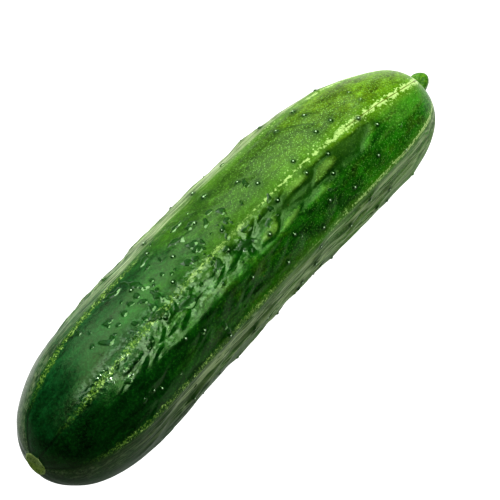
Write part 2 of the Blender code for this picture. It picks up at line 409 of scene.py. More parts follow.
# %% Knobs on the warts
MOUND_HEIGHT = 0.00035
MOUND_RADIUS = 0.0034
KNOB_HEIGHT = 0.00045
KNOB_RADIUS = 0.00050
KNOB_SHARPNESS = 2.2
RING_DEPTH = 0.00006
RING_RADIUS = 0.0010
RING_WIDTH = 0.0004
WART_REACH = 0.008


def distance_on_skin(x, turn, radius, place):
    """How far arrays of points lie from one place, which is a row of x and turn."""
    return np.hypot(x - place[0], radius * np.radians(turned_from(turn, place[1])))


def wart_relief(distance):
    """The height of one wart at a distance from its middle."""
    mound = MOUND_HEIGHT * np.exp(-((distance / MOUND_RADIUS) ** 2))
    knob = KNOB_HEIGHT * np.exp(-((distance / KNOB_RADIUS) ** KNOB_SHARPNESS))
    ring = RING_DEPTH * np.exp(-(((distance - RING_RADIUS) / RING_WIDTH) ** 2))
    return mound + knob - ring


def all_warts_relief(x, turn, radius):
    """The height of all warts, and the distance to the nearest one."""
    height, nearest = np.zeros_like(x), np.full_like(x, WART_REACH)
    for place in warts:
        close = np.abs(x - place[0]) < WART_REACH
        distance = distance_on_skin(x[close], turn[close], radius[close], place)
        height[close] += wart_relief(distance)
        nearest[close] = np.minimum(nearest[close], distance)
    return height, nearest


print("height of a wart:", round(1000 * float(wart_relief(0.0)), 2), "mm")

# %% [markdown]
# Where the skin has shrunk a little it puckers. Long dimples lean off the top stripe and fade out on the
# rib beside it, finer ones follow the stripe itself, and low folds run along both flanks. Plain noise gives
# blurred hills there. A Voronoi pattern has what shrunken skin has: rounded pillows with narrow creases
# between them. It is wavered by noise, stretched along a leaning direction, and let in only on its own
# strip of skin.

# %% Puckers and folds
# Each zone has the stripe that it follows, the four turns past that stripe at which it begins, is full,
# fades and ends, the shares of the length between which it lies, and the depth, length, width and lean
# of its pillows.
PUCKER_ZONES = (
    (0, (1, 9, 20, 30), (0.42, 0.88), 0.0009, 0.0125, 0.0048, -10),
    (0, (1, 8, 20, 28), (0.10, 0.62), 0.0004, 0.0105, 0.0036, -9),
    (0, (-8, -3, 3, 9), (0.04, 0.46), 0.00022, 0.0022, 0.0015, 0),
    (0, (26, 33, 50, 56), (0.10, 0.78), 0.00036, 0.0110, 0.0056, -12),
    (0, (-60, -48, -14, -4), (0.30, 0.92), 0.00022, 0.0085, 0.0050, 16),
    (1, (1, 6, 40, 60), (0.10, 0.88), 0.0008, 0.0300, 0.0032, -13),
    (6, (-60, -40, -16, -8), (0.12, 0.85), 0.0009, 0.0220, 0.0034, 10),
)
ZONE_FADE = 0.1
CREASE_REACH = 0.45
PILLOW_WAVER = 0.35
ZONES_APART = 7.3
# Three places in one noise, far enough apart to differ, give the three sides of the waver
WAVER_OFFSETS = (Vector((5.3, 1.7, 0.4)), Vector((2.1, 8.9, 3.6)), Vector((7.7, 4.2, 9.5)))


def pillows_at(*sides):
    """Rounded pillows with creases between them, from 0 to 1, for arrays of the three sides of a point."""
    heights = []
    for point in np.column_stack(sides):
        place = Vector(point)
        waver = Vector([noise.noise(place + offset) for offset in WAVER_OFFSETS])
        nearest, second = noise.voronoi(place + PILLOW_WAVER * waver)[0][:2]
        heights.append(1 - math.exp(-(((second - nearest) / CREASE_REACH) ** 2)))
    return np.array(heights)


def pucker_mask(x, turn, zone):
    """1 inside a zone and 0 outside it, with soft borders."""
    stripe, (low, full, fading, gone), (begin, end) = zone[:3]
    share = x / LENGTH + 0.5
    along = smooth_step((share - begin) / ZONE_FADE) * smooth_step((end - share) / ZONE_FADE)
    beyond = turned_from(turn, stripe_turn(stripe, x))
    begun = smooth_step((beyond - low) / (full - low))
    return along * begun * smooth_step((gone - beyond) / (gone - fading))


def pucker_relief(x, turn, radius):
    """The height of all zones. Pillow tops stand as far above the plain skin as creases lie below it."""
    relief = np.zeros_like(x)
    for number, zone in enumerate(PUCKER_ZONES):
        mask = pucker_mask(x, turn, zone)
        inside = mask > 0
        depth, length, width, lean = zone[3:]
        lean = math.radians(lean)
        near_x = x[inside]
        beyond = np.radians(turned_from(turn[inside], stripe_turn(zone[0], near_x))) * radius[inside]
        forward = near_x * math.cos(lean) + beyond * math.sin(lean)
        sideways = beyond * math.cos(lean) - near_x * math.sin(lean)
        pillows = pillows_at(forward / length, sideways / width, np.full_like(near_x, ZONES_APART * number))
        relief[inside] += depth * mask[inside] * (pillows - 0.5)
    return relief


print("pucker zones:", len(PUCKER_ZONES))

# %% [markdown]
# The fruit has just been washed. Water stands on it in low drops and puddles with uneven edges, most of
# them on the top between two stripes. Ready-made beads of water would sit on the skin like glass pearls,
# and these cling to it. So each is an ellipse with a noisy rim, raised from the skin itself: a place, a
# length, a width and a lean. The big ones are placed one by one, and a seeded draw adds small ones all
# round, so that no side is dry.

# %% Where the water stands
DROP_HEIGHT = 0.00034
DROP_EDGE_NOISE = 0.8
DROP_NOISE_SIZE = 0.0017
# Rows of share along the fruit, turn, length and width in millimetres, and lean in degrees
BIG_DROPS = (
    (0.204, -4, 5.2, 2.0, 50),
    (0.236, -14, 3.8, 2.2, 20),
    (0.285, -29, 8.0, 2.0, 15),
    (0.318, -17, 9.0, 2.8, 75),
    (0.325, 2, 7.0, 2.2, 80),
    (0.365, -29, 5.0, 2.0, -20),
    (0.427, -19, 5.2, 3.4, 30),
    (0.44, -6, 5.0, 2.6, 5),
    (0.405, 2, 4.2, 2.4, 60),
    (0.47, -20, 3.4, 2.0, 20),
    (0.485, -11, 3.2, 1.7, -40),
    (0.52, -9, 3.8, 2.6, 50),
    (0.505, -16, 3.0, 2.0, 0),
    (0.45, -30, 5.5, 1.8, 0),
    (0.30, 12, 7.0, 2.6, 25),
    (0.35, 22, 9.0, 3.2, 10),
    (0.44, 20, 6.0, 2.8, -30),
    (0.50, 24, 7.5, 3.4, 20),
    (0.525, 16, 5.0, 1.8, 10),
    (0.56, 25, 4.0, 2.2, -20),
)
SMALL_DROPS = 120
SMALL_DROPS_ON_TOP = 80
SMALL_DROP_SEED = 5
SMALL_DROP_SIZE = (0.4, 1.4)
SMALL_DROP_SLIMNESS = (0.45, 0.9)
TOP_DROP_SHARES = (0.18, 0.60)
TOP_DROP_TURN, TOP_DROP_SPREAD = 2, 17
OTHER_DROP_SHARES = (0.18, 0.82)
OTHER_DROP_TURNS = (30, 330)


def drop_rows():
    """All puddles, as rows of x, turn, half length, half width and lean, in metres, degrees and radians."""
    rows = [
        ((share - 0.5) * LENGTH, turn, length / 2000, width / 2000, math.radians(lean))
        for share, turn, length, width, lean in BIG_DROPS
    ]
    draw = random.Random(SMALL_DROP_SEED)
    for number in range(SMALL_DROPS):
        on_top = number < SMALL_DROPS_ON_TOP
        share = draw.uniform(*(TOP_DROP_SHARES if on_top else OTHER_DROP_SHARES))
        turn = draw.gauss(TOP_DROP_TURN, TOP_DROP_SPREAD) if on_top else draw.uniform(*OTHER_DROP_TURNS)
        size = draw.uniform(*SMALL_DROP_SIZE) / 1000
        width = size * draw.uniform(*SMALL_DROP_SLIMNESS)
        rows.append(((share - 0.5) * LENGTH, turn, size, width, draw.uniform(0, math.pi)))
    return rows


drops = drop_rows()
print("puddles and drops:", len(drops))

# %% [markdown]
# For the shape a drop needs only its height. For the paint it needs two numbers more, because water is
# bright on one side and dark on the other: how far out in the drop a point lies, and on which side. Both
# are measured here, where the drop's own axes are at hand, and are stored on the mesh later.

# %% The height of the water
DROP_MARGIN = 0.001
OUTSIDE = 9.0
DRY = 2.0
DOME_POWER = 1.1


def drop_reach(x, turn, radius, row):
    """How far out a point lies in one puddle: 0 at its middle and 1 on its uneven rim."""
    place_x, place_turn, half_length, half_width, lean = row
    along = x - place_x
    across = radius * np.radians(turned_from(turn, place_turn))
    forward = (along * math.cos(lean) + across * math.sin(lean)) / half_length
    sideways = (across * math.cos(lean) - along * math.sin(lean)) / half_width
    return np.hypot(forward, sideways)


def drop_side(turn, radius, row):
    """On which side of a puddle a point lies: -1 at the edge of least turn, 1 at the edge of most turn."""
    half_length, half_width, lean = row[2:]
    across = radius * np.radians(turned_from(turn, row[1]))
    return across / (half_width * abs(math.cos(lean)) + half_length * abs(math.sin(lean)))


def all_drops_relief(x, turn, radius):
    """The height of the water, how far out in the nearest puddle each point lies, and on which side."""
    height, nearest, side = np.zeros_like(x), np.full_like(x, DRY), np.zeros_like(x)
    for row in drops:
        near = np.abs(x - row[0]) < DRY * row[2] + DROP_MARGIN
        reach = np.full_like(x, OUTSIDE)
        reach[near] = drop_reach(x[near], turn[near], radius[near], row)
        near = reach < DRY
        around = np.radians(turn[near])
        across, up = radius[near] * np.sin(around), radius[near] * np.cos(around)
        rim = noise_at(x[near] / DROP_NOISE_SIZE, across / DROP_NOISE_SIZE, up / DROP_NOISE_SIZE)
        reach[near] += DROP_EDGE_NOISE * rim
        dome = np.sqrt(np.clip(1 - reach[near] ** 2, 0, 1))
        height[near] = np.maximum(height[near], DROP_HEIGHT * dome**DOME_POWER)
        own_side = drop_side(turn[near], radius[near], row)
        side[near] = np.where(reach[near] < nearest[near], own_side, side[near])
        nearest[near] = np.minimum(nearest[near], reach[near])
    return height, nearest, side


print("the highest water stands", 1000 * DROP_HEIGHT, "mm above the skin")

# %% [markdown]
# Now the mesh. A grid fine enough for a knob half a millimetre wide would need millions of faces if it were
# even. So an even grid of squares is laid out flat, one ring of the fruit after another, and its squares
# are split later, only where detail is wanted. The grid is cut open along the underside, out of sight. A
# point of it is a ring and a column, and one function says where on the fruit that is.

# %% The rings and columns of a flat grid
COLUMNS = 170
RING_SPACING = 0.00095
SEAM_TURN = 180
SCAR_FINE_RADII = (0.0005, 0.0010, 0.0014, 0.0019, 0.0024, 0.0029, 0.0034, 0.0038, 0.0042)


def fine_stations():
    """Rows of x and radius for the fine skin. The flat scar gets rings of its own."""
    scar_depths, scar_radii = zip(*SCAR_RINGS)
    scar = [(-LENGTH / 2 + np.interp(radius, scar_radii, scar_depths), radius) for radius in SCAR_FINE_RADII]
    seat = [(LENGTH / 2 - depth, radius) for depth, radius in STEM_SEAT_RINGS]
    return np.concatenate((scar, body_stations(RING_SPACING), seat))


stations = fine_stations()


def place_on_fruit(grid):
    """x, turn and plain radius for rows of ring and column."""
    number = np.arange(len(stations))
    x = np.interp(grid[:, 0], number, stations[:, 0])
    radius = np.interp(grid[:, 0], number, stations[:, 1])
    turn = SEAM_TURN + 360 * grid[:, 1] / COLUMNS
    return x, turn, radius


print("rings:", len(stations), "of", COLUMNS, "squares")

# %% [markdown]
# A square is split in half each way, and its quarters once more where a wart's knob or the rim of a drop
# needs it. Whole squares could be replaced by finer ones, but then their corners would no longer meet. The
# splitting is left to the mesh tools, which also divide the neighbours so that no crack opens.

# %% Split the squares where detail is wanted
# For the first and the second splitting: how near a wart has to be, and how far out in a drop
WART_SPLITS = (0.0026, 0.0017)
DROP_SPLITS = ((-1.0, 1.8), (0.45, 1.5))
# The last three zones are shallow or long, and whole squares are fine enough for them
SPLIT_ZONES = PUCKER_ZONES[:4]
SPLIT_MASK = 0.1


def wants_split(level, grid):
    """Whether each grid place needs faces half or a quarter as wide."""
    x, turn, radius = place_on_fruit(grid)
    wanted = np.zeros(len(x), bool)
    for place in warts:
        close = np.abs(x - place[0]) < WART_REACH
        wanted[close] |= distance_on_skin(x[close], turn[close], radius[close], place) < WART_SPLITS[level]
    inner, outer = DROP_SPLITS[level]
    for row in drops:
        reach = drop_reach(x, turn, radius, row)
        wanted |= (reach > inner) & (reach < outer)
    if level == 0:
        for zone in SPLIT_ZONES:
            wanted |= pucker_mask(x, turn, zone) > SPLIT_MASK
    return wanted


def split_grid():
    """The flat grid. A corner's X is its ring and its Y is its column, split corners lie between."""
    mesh = bmesh.new()
    corners = [
        [mesh.verts.new((ring, column, 0)) for column in range(COLUMNS + 1)] for ring in range(len(stations))
    ]
    for ring, following in zip(corners, corners[1:]):
        for column in range(COLUMNS):
            mesh.faces.new((ring[column], ring[column + 1], following[column + 1], following[column]))
    for level in range(len(WART_SPLITS)):
        faces = list(mesh.faces)
        middles = np.array([face.calc_center_median()[:2] for face in faces])
        chosen = [face for face, wanted in zip(faces, wants_split(level, middles)) if wanted]
        edges = list({edge for face in chosen for edge in face.edges})
        bmesh.ops.subdivide_edges(mesh, edges=edges, cuts=1, use_grid_fill=True)
    return mesh


# %% [markdown]
# Each corner of the flat grid is now moved to its place on the fruit. All of it is arithmetic on whole
# arrays of corners at once, which is far quicker than one corner at a time: the plain radius, the relief on
# it, then the bowed axis, and last the tilt of the blossom end. What would hang below the table is set down
# on it.

# %% Move every corner to its place on the skin
STORED = ("wart_distance", "water_reach", "water_side", "puckered")


def skin_points(grid):
    """The places in space for rows of ring and column, then the stored numbers there."""
    x, turn, radius = place_on_fruit(grid)
    around = np.radians(turn)
    grown = smooth_step(radius / belly_radius(x))
    wart_height, wart_distance = all_warts_relief(x, turn, radius)
    water_height, *water = all_drops_relief(x, turn, radius)
    puckered = pucker_relief(x, turn, radius)
    raised = rib_relief(x, turn, radius) + lump_relief(x, turn, radius) + wart_height + puckered
    raised += pit_relief(x, turn, radius)
    reach = radius + crease_relief(x, turn) + grown * raised + water_height
    axis_x, axis_y, axis_z = axis_point(x)
    above = reach * np.cos(around)
    tilted = axis_x + SCAR_TILT * end_bend(LENGTH / 2 + x, SCAR_TILT_LENGTH) * above
    z = np.maximum(axis_z + above, 0)
    return np.column_stack((tilted, axis_y - reach * np.sin(around), z)), wart_distance, *water, puckered


# %% [markdown]
# The moved grid is a tube, open at both ends and along its seam. Each end is fanned to one point, and the
# seam is sewn up by merging the corners that now lie on the same spot. Where a small drop lies beside the
# seam, the squares on one side of it are split and those on the other aren't. A few such edges stay open on
# the flat underside, where they meet without a gap. The print after the sewing counts them.

# %% Sew up the skin
SEAM_GAP = 1e-7


def smooth_piece(name, mesh):
    """A smooth shaded object from a mesh in the making."""
    data = bpy.data.meshes.new(name)
    mesh.to_mesh(data)
    mesh.free()
    data.shade_smooth()
    return add_to_scene(name, data)


def close_end(mesh, ring, centre):
    """Fans an end ring to one point."""
    tip = mesh.verts.new(centre)
    for here, there in zip(ring, ring[1:] + ring[:1]):
        mesh.faces.new((tip, here, there))


def end_rings(mesh, grid):
    """The corners of the first and of the last ring, in order round the fruit."""
    rings = {0: {}, len(stations) - 1: {}}
    for corner, (ring, column) in zip(mesh.verts, grid):
        if ring in rings and column < COLUMNS:
            rings[ring][column] = corner
    return [[ring[column] for column in sorted(ring)] for ring in rings.values()]


def make_skin():
    """The whole skin as one piece, with the numbers for the paint stored on its corners."""
    mesh = split_grid()
    grid = np.array([corner.co[:2] for corner in mesh.verts])
    points, *values = skin_points(grid)
    for name, numbers in zip(STORED, values):
        layer = mesh.verts.layers.float.new(name)
        for corner, number in zip(mesh.verts, numbers):
            corner[layer] = number
    for corner, point in zip(mesh.verts, points):
        corner.co = point
    seam = [corner for corner, place in zip(mesh.verts, grid) if place[1] in (0, COLUMNS)]
    scar_ring, seat_ring = end_rings(mesh, grid)
    close_end(mesh, scar_ring[::-1], axis_point(-LENGTH / 2 + SCAR_RINGS[0][0]))
    close_end(mesh, seat_ring, axis_point(LENGTH / 2 - STEM_SEAT_DEPTH))
    bmesh.ops.remove_doubles(mesh, verts=seam, dist=SEAM_GAP)
    print("open edges:", sum(edge.is_boundary for edge in mesh.edges))
    return smooth_piece("skin", mesh)


skin = make_skin()
triangles = sum(len(face.vertices) - 2 for face in skin.data.polygons)
print("skin:", len(skin.data.vertices), "corners,", triangles, "triangles")

# %% [markdown]
# Materials are trees of small nodes. Building them one link at a time hides the idea, so a small class
# wraps one output of a node, and Python's own operators on it add the Math nodes. After that a mask can be
# written the way it would be said: one minus the distance, times the noise.

# %% A wire that does sums
class Wire:
    """One output in a material. Operators on it add Math nodes, or Vector Math nodes where it is a vector."""

    def __init__(self, finish, socket):
        self.finish, self.socket = finish, socket

    def sum(self, operation, *values):
        kind = "ShaderNodeVectorMath" if self.socket.type == "VECTOR" else "ShaderNodeMath"
        return self.finish.node(kind, {"operation": operation}, dict(enumerate(values)))

    def __add__(self, other):
        return self.sum("ADD", self, other)

    def __sub__(self, other):
        return self.sum("SUBTRACT", self, other)

    def __rsub__(self, other):
        return self.sum("SUBTRACT", other, self)

    def __mul__(self, other):
        return self.sum("MULTIPLY", self, other)

    def __truediv__(self, other):
        return self.sum("DIVIDE", self, other)

    def __pow__(self, power):
        return self.sum("POWER", self, power)

    def __neg__(self):
        return self.sum("MULTIPLY", self, -1)

    def __abs__(self):
        return self.sum("ABSOLUTE", self)

    __radd__ = __add__
    __rmul__ = __mul__

    def least(self, other):
        return self.sum("MINIMUM", self, other)

    def most(self, other):
        return self.sum("MAXIMUM", self, other)

    def beside(self, name):
        """Another output of the same node."""
        return Wire(self.finish, self.socket.node.outputs[name])

    def fade(self, start, end, low=0.0, high=1.0):
        """Low as far as start and high from end on, softly. Start may be the larger of the two."""
        sockets = {0: self, 1: start, 2: end, 3: low, 4: high}
        return self.finish.node("ShaderNodeMapRange", {"interpolation_type": "SMOOTHSTEP"}, sockets)

    def within(self, begin, full, fading, end):
        """1 from full to fading, and 0 before begin and after end."""
        return self.fade(begin, full) * self.fade(end, fading)

    def near(self, middle, full, gone):
        """1 where the value is closer to the middle than full, and 0 where it is farther off than gone."""
        return abs(self - middle).fade(gone, full)


# %% [markdown]
# The other half of the idea is the material itself. One method adds any node, because every node is set up
# in the same three steps: its type, its settings, and what goes into its sockets. The rest are the few
# combinations that a fruit needs again and again: one colour over another, cloudy noise, a number that was
# stored on the mesh, and a bump.

# %% A finish in the making
def set_stops(ramp, stops):
    """Fills a colour ramp from pairs of position and colour."""
    while len(ramp.elements) < len(stops):
        ramp.elements.new(0.5)
    for element, (position, colour) in zip(ramp.elements, stops):
        element.position = position
        element.color = (*colour, 1)


class Finish:
    """A material in the making, with its tree of nodes."""

    def __init__(self, name):
        self.material = bpy.data.materials.new(name)
        self.material.use_nodes = True
        self.tree = self.material.node_tree
        self.tree.nodes.clear()

    def node(self, kind, settings=None, sockets=None, output=0):
        """Adds any node: its settings first, then the values or links of its sockets."""
        node = self.tree.nodes.new(kind)
        for name, value in (settings or {}).items():
            if name == "stops":
                set_stops(node.color_ramp, value)
            else:
                setattr(node, name, value)
        for name, value in (sockets or {}).items():
            socket = node.inputs[name]
            if isinstance(value, Wire):
                self.tree.links.new(value.socket, socket)
            elif socket.type == "RGBA":
                socket.default_value = (*value, 1)
            else:
                socket.default_value = value
        return Wire(self, node.outputs[output]) if node.outputs else None

    def blend(self, mask, under, over):
        """One colour over another where the mask is 1."""
        return self.node("ShaderNodeMix", {"data_type": "RGBA"}, {0: mask, 6: under, 7: over}, output=2)

    def tint(self, colour, amount):
        """A colour made lighter or darker by a number that varies around 1."""
        grey = self.node("ShaderNodeCombineColor", None, {0: amount, 1: amount, 2: amount})
        settings = {"data_type": "RGBA", "blend_type": "MULTIPLY"}
        return self.node("ShaderNodeMix", settings, {0: 1.0, 6: colour, 7: grey}, output=2)

    def cloud(self, place, size, detail=2.0, roughness=0.5):
        """Noise around 0.5 with features of about that size in metres."""
        sockets = {"Vector": place, "Scale": 1 / size, "Detail": detail, "Roughness": roughness}
        return self.node("ShaderNodeTexNoise", None, sockets)

    def stored(self, name):
        """A number that was stored on the corners of the mesh."""
        return self.node("ShaderNodeAttribute", {"attribute_name": name}, None, output="Fac")

    def bump(self, strength, distance, surface):
        sockets = {"Strength": strength, "Distance": distance, "Height": surface}
        return self.node("ShaderNodeBump", None, sockets, output="Normal")

    def dress(self, piece, sockets):
        """Ends the tree in a Principled shader and puts the material on a piece."""
        shader = self.node("ShaderNodeBsdfPrincipled", None, sockets)
        self.node("ShaderNodeOutputMaterial", None, {"Surface": shader})
        piece.data.materials.append(self.material)
        print(self.material.name, "on", piece.name, "has", len(self.tree.nodes), "nodes")


# %% [markdown]
# The skin's finish needs the same two numbers as its shape: the place along the fruit and the turn round
# it. They could be stored on the mesh, but a stripe a third of a millimetre wide would come out ragged
# between corners. So the material works them out again from the point's own place, with the same formulas.
# In the cells that follow, a name with ALONG holds a fade along the fruit: the two shares of its length
# between which it runs, then the strengths it goes from and to. A name with CONTOUR holds the two levels of
# a noise between which a mark fades in.

# %% Where on the fruit the paint is
skin_finish = Finish("cucumber_skin")
place = skin_finish.node("ShaderNodeTexCoord", output="Object")
x = skin_finish.node("ShaderNodeSeparateXYZ", None, {0: place}, output="X")
y, z = x.beside("Y"), x.beside("Z")
share = x / LENGTH + 0.5
along = x * (2 / LENGTH)
along_squared = along * along
at_blossom = (1 - (x + LENGTH / 2) / END_BEND_LENGTH).most(0) ** 2
at_stem = (1 - (LENGTH / 2 - x) / END_BEND_LENGTH).most(0) ** 2
belly_slope = (STEM_SIDE_RADIUS - BLOSSOM_SIDE_RADIUS) / LENGTH
belly_middle = (STEM_SIDE_RADIUS + BLOSSOM_SIDE_RADIUS) / 2
side = y + along_squared * BOW - along * (1 - along_squared) * BOW_SKEW - at_stem * STEM_END_SHIFT
height = z - x * belly_slope - (belly_middle - FLAT_DEPTH)
height = height - at_blossom * BLOSSOM_END_RISE - at_stem * STEM_END_RISE
turn = skin_finish.node("ShaderNodeMath", {"operation": "ARCTAN2"}, {0: -side, 1: height}) * (180 / math.pi)
radius = (side * side + height * height) ** 0.5
print("nodes for the place on the fruit:", len(skin_finish.tree.nodes))


# %% [markdown]
# The stripes are the ruler of the whole pattern: dots, flecks, flanks and puckers all lie at so many
# degrees past one of them. One distance to the nearest stripe paints all seven. The side stripes are
# thinner than the top one near the stem, so their distance is divided by a width before the least is taken.

# %% How far the paint is from a stripe
SIDE_WIDTH_AT_STEM = 0.5
SIDE_WIDTH_AT_BLOSSOM = 1.0
SIDE_STRIPES_WIDEN = (0.45, 0.72)


def turned_past(turns):
    """How many degrees the paint is past a curve of turns, from -180 to 180."""
    constant, linear, square = curve_factors(turns)
    off = turn - (along * linear + along_squared * square + constant)
    return off.sum("WRAP", off, 180, -180)


def stripe_distance(turns):
    """The distance on the skin from the middle of one stripe, in metres."""
    return abs(turned_past(turns)) * radius * (math.pi / 180)


side_width = share.fade(*SIDE_STRIPES_WIDEN, SIDE_WIDTH_AT_BLOSSOM, SIDE_WIDTH_AT_STEM)
nearest_stripe = stripe_distance(STRIPE_TURNS[0])
for turns in STRIPE_TURNS[1:]:
    nearest_stripe = nearest_stripe.least(stripe_distance(turns) / side_width)
past_top = turned_past(STRIPE_TURNS[0])
near_flank = turned_past(STRIPE_TURNS[1])
print("nodes with the stripes:", len(skin_finish.tree.nodes))

# %% [markdown]
# A real skin is never one flat green. Its unevenness comes in sizes: patches as wide as a thumb, mottles,
# spots the size of a lentil and grain as fine as dust. All but the finest are longer along the fruit than
# round it, as growth stretched them, so their noise is read from a place that is squeezed along X.

# %% Noise in four sizes
PATCH_SIZE = 0.012
MOTTLE_SIZE = 0.0052
SPOT_SIZE = 0.0028
GRAIN_SIZE = 0.0009
GROWTH_SQUEEZE = (0.45, 1, 1)
squeezed = place * GROWTH_SQUEEZE
patches = skin_finish.cloud(squeezed, PATCH_SIZE, detail=3)
mottles = skin_finish.cloud(squeezed, MOTTLE_SIZE, detail=3, roughness=0.6)
spots = skin_finish.cloud(squeezed, SPOT_SIZE, detail=3)
grain = skin_finish.cloud(place, GRAIN_SIZE, detail=3, roughness=0.75)
print("widest patches:", 1000 * PATCH_SIZE, "mm, finest grain:", 1000 * GRAIN_SIZE, "mm")

# %% [markdown]
# The ground colour goes from almost black green at the blossom end, through a mottled middle, to a fresh
# bright green at the stem. One panel, just past the top and facing the main light, is paler and yellower
# than the rest, partly its own colour and partly painted light, and the other panels are deeper, partly
# with painted shade. So there are two colour ramps along the fruit, one for the sunny panel and one for the
# deep, shaded ones, and the noise pushes the input of both to and fro so that the change comes in patches.

# %% Two ground colours, partly painted light and shade
SUNNY_LIT_STOPS = (
    (0.0, (0.0014, 0.032, 0.006)),
    (0.20, (0.005, 0.048, 0.013)),
    (0.36, (0.009, 0.066, 0.010)),
    (0.50, (0.025, 0.080, 0.004)),
    (0.70, (0.040, 0.096, 0.003)),
    (0.86, (0.082, 0.150, 0.006)),
    (1.0, (0.100, 0.200, 0.010)),
)
DEEP_SHADED_STOPS = (
    (0.0, (0.0014, 0.028, 0.004)),
    (0.25, (0.0022, 0.040, 0.004)),
    (0.45, (0.007, 0.075, 0.003)),
    (0.70, (0.014, 0.110, 0.003)),
    (1.0, (0.023, 0.155, 0.004)),
)
PATCH_PUSH = 0.34
SPOT_PUSH = 0.22
pushed = share + (patches - 0.5) * PATCH_PUSH + (spots - 0.5) * SPOT_PUSH
sunny_lit_ground = skin_finish.node("ShaderNodeValToRGB", {"stops": SUNNY_LIT_STOPS}, {0: pushed})
deep_shaded_ground = skin_finish.node("ShaderNodeValToRGB", {"stops": DEEP_SHADED_STOPS}, {0: pushed})
print("ground colours:", len(SUNNY_LIT_STOPS), "and", len(DEEP_SHADED_STOPS), "stops")

# %% [markdown]
# The deep, shaded panels carry olive and inky mottles and a paler grain, the sunny panel doesn't. A mask by
# the turn from the sunny panel's middle joins the lit ramp and the shaded one, and it bulges a little between
# the middle and the stem.
# Then one number that varies around 1 lightens and darkens everything, which keeps each place's own hue.

# %% Mottles, the sunny panel and shade
OLIVE = (0.040, 0.100, 0.004)
INKY = (0.0015, 0.022, 0.002)
GRAIN_GREEN = (0.035, 0.11, 0.008)
OLIVE_CONTOUR, OLIVE_ALONG = (0.50, 0.66), (0.20, 0.45, 0, 0.7)
INKY_CONTOUR, INKY_ALONG = (0.46, 0.36), (0.72, 0.86, 0.6, 0.15)
GRAIN_CONTOUR, GRAIN_ALONG = (0.54, 0.72), (0.10, 0.40, 0.1, 0.6)
SUNNY_TURNS = (-20, -20, -20)
SUNNY_HALF_WIDTH = (32, 46)
SUNNY_SWAY = 24
SUNNY_BULGE = 10
SUNNY_BULGE_SHARES = (0.48, 0.60, 0.76, 0.86)
PATCH_SHADE = 1.0
SPOT_SHADE = 1.6
GRAIN_SHADE = 3.6
DARKEST_GRAIN = -0.07
DARKEST_SHADE = 0.2

olive_mottles = mottles.fade(*OLIVE_CONTOUR) * share.fade(*OLIVE_ALONG)
inky_mottles = mottles.fade(*INKY_CONTOUR) * share.fade(*INKY_ALONG)
pale_grain = grain.fade(*GRAIN_CONTOUR) * share.fade(*GRAIN_ALONG)
deep_shaded_ground = skin_finish.blend(olive_mottles, deep_shaded_ground, OLIVE)
deep_shaded_ground = skin_finish.blend(inky_mottles, deep_shaded_ground, INKY)
deep_shaded_ground = skin_finish.blend(pale_grain, deep_shaded_ground, GRAIN_GREEN)
from_sunny = abs(turned_past(SUNNY_TURNS)) + (patches - 0.5) * SUNNY_SWAY
from_sunny = from_sunny - share.within(*SUNNY_BULGE_SHARES) * SUNNY_BULGE
deep_shaded_part = from_sunny.fade(*SUNNY_HALF_WIDTH)
# The paler ramp with painted light on the sunny panel, the deeper ramp with painted shade on the others
ground = skin_finish.blend(deep_shaded_part, sunny_lit_ground, deep_shaded_ground)
shade = 1 + (patches - 0.5) * PATCH_SHADE + (spots - 0.5) * SPOT_SHADE
shade = shade + (grain - 0.5).most(DARKEST_GRAIN) * GRAIN_SHADE
ground = skin_finish.tint(ground, shade.most(DARKEST_SHADE))
print("nodes with the ground colour:", len(skin_finish.tree.nodes))

# %% [markdown]
# Both flanks are pale and greyish, with fine lengthwise streaks, as if the skin had been combed. The pale
# grey is partly the skin's own colour and partly a painted reflection of the white floor, which the skin
# mirrors where it turns away. The streaks could be stripes laid side by side, but noise squeezed almost flat
# along the fruit gives the same combed look from one node. The near flank starts at the second stripe and
# narrows towards the blossom end. The far one lies past the sunny panel and fades out before the stem.

# %% Where the flanks are
FLANK_SQUEEZE = (0.03, 1, 1)
STREAK_SIZE = 0.0008
NEAR_FLANK_TURNS = (1, 4, 38, 66)
FAR_EDGE = (-37, -41, -54)
FAR_FLANK_TURNS = (-48, -22, -2, 1)
FAR_EDGE_SWAY = 10
NEAR_FLANK_ALONG = (0.12, 0.34, 0.2, 1.0)
NARROWING_TURNS, NARROWING_ALONG = (16, 32), (0.50, 0.35, 0, 0.75)
FAR_FLANK_ALONG, FAR_FLANK_STEM_END = (0.15, 0.42, 0.38, 1.0), (0.93, 0.80)

streaks = skin_finish.cloud(place * FLANK_SQUEEZE, STREAK_SIZE, detail=3, roughness=0.7)
past_far_edge = turned_past(FAR_EDGE) + (patches - 0.5) * FAR_EDGE_SWAY
near_side = near_flank.within(*NEAR_FLANK_TURNS) * share.fade(*NEAR_FLANK_ALONG)
near_side = near_side * (1 - near_flank.fade(*NARROWING_TURNS) * share.fade(*NARROWING_ALONG))
far_side = past_far_edge.within(*FAR_FLANK_TURNS) * share.fade(*FAR_FLANK_ALONG)
far_side = far_side * share.fade(*FAR_FLANK_STEM_END)
flanks = near_side.most(far_side)
print("near flank:", NEAR_FLANK_TURNS[0], "to", NEAR_FLANK_TURNS[-1], "degrees past the second stripe")

# %% [markdown]
# Low folds run along the flanks, and light catches their crests. This light and shade are painted: a painted
# highlight on two crests and painted shade in two troughs follow the near flank, and thin fold lines, one
# pale with a painted highlight and one dark with a painted shadow, come from one contour of a cloud each:
# where the noise is close to a chosen value, there is a line. It wanders like a real fold, and it costs one
# node.

# %% Colour, painted reflection and painted light and shade of the flanks
NEAR_FLANK_PALE_AND_REFLECTION = (0.18, 0.23, 0.08)
FAR_FLANK_PALE_AND_REFLECTION = (0.32, 0.38, 0.22)
CREST_PAINTED_HIGHLIGHT = (0.38, 0.47, 0.27)
TROUGH_PAINTED_SHADE = (0.02, 0.07, 0.01)
FOLD_SHADOW = (0.02, 0.05, 0.01)
FOLD_SQUEEZE = (0.05, 1, 1)
FOLD_SIZE = 0.0030
CREST_SWAY = 8
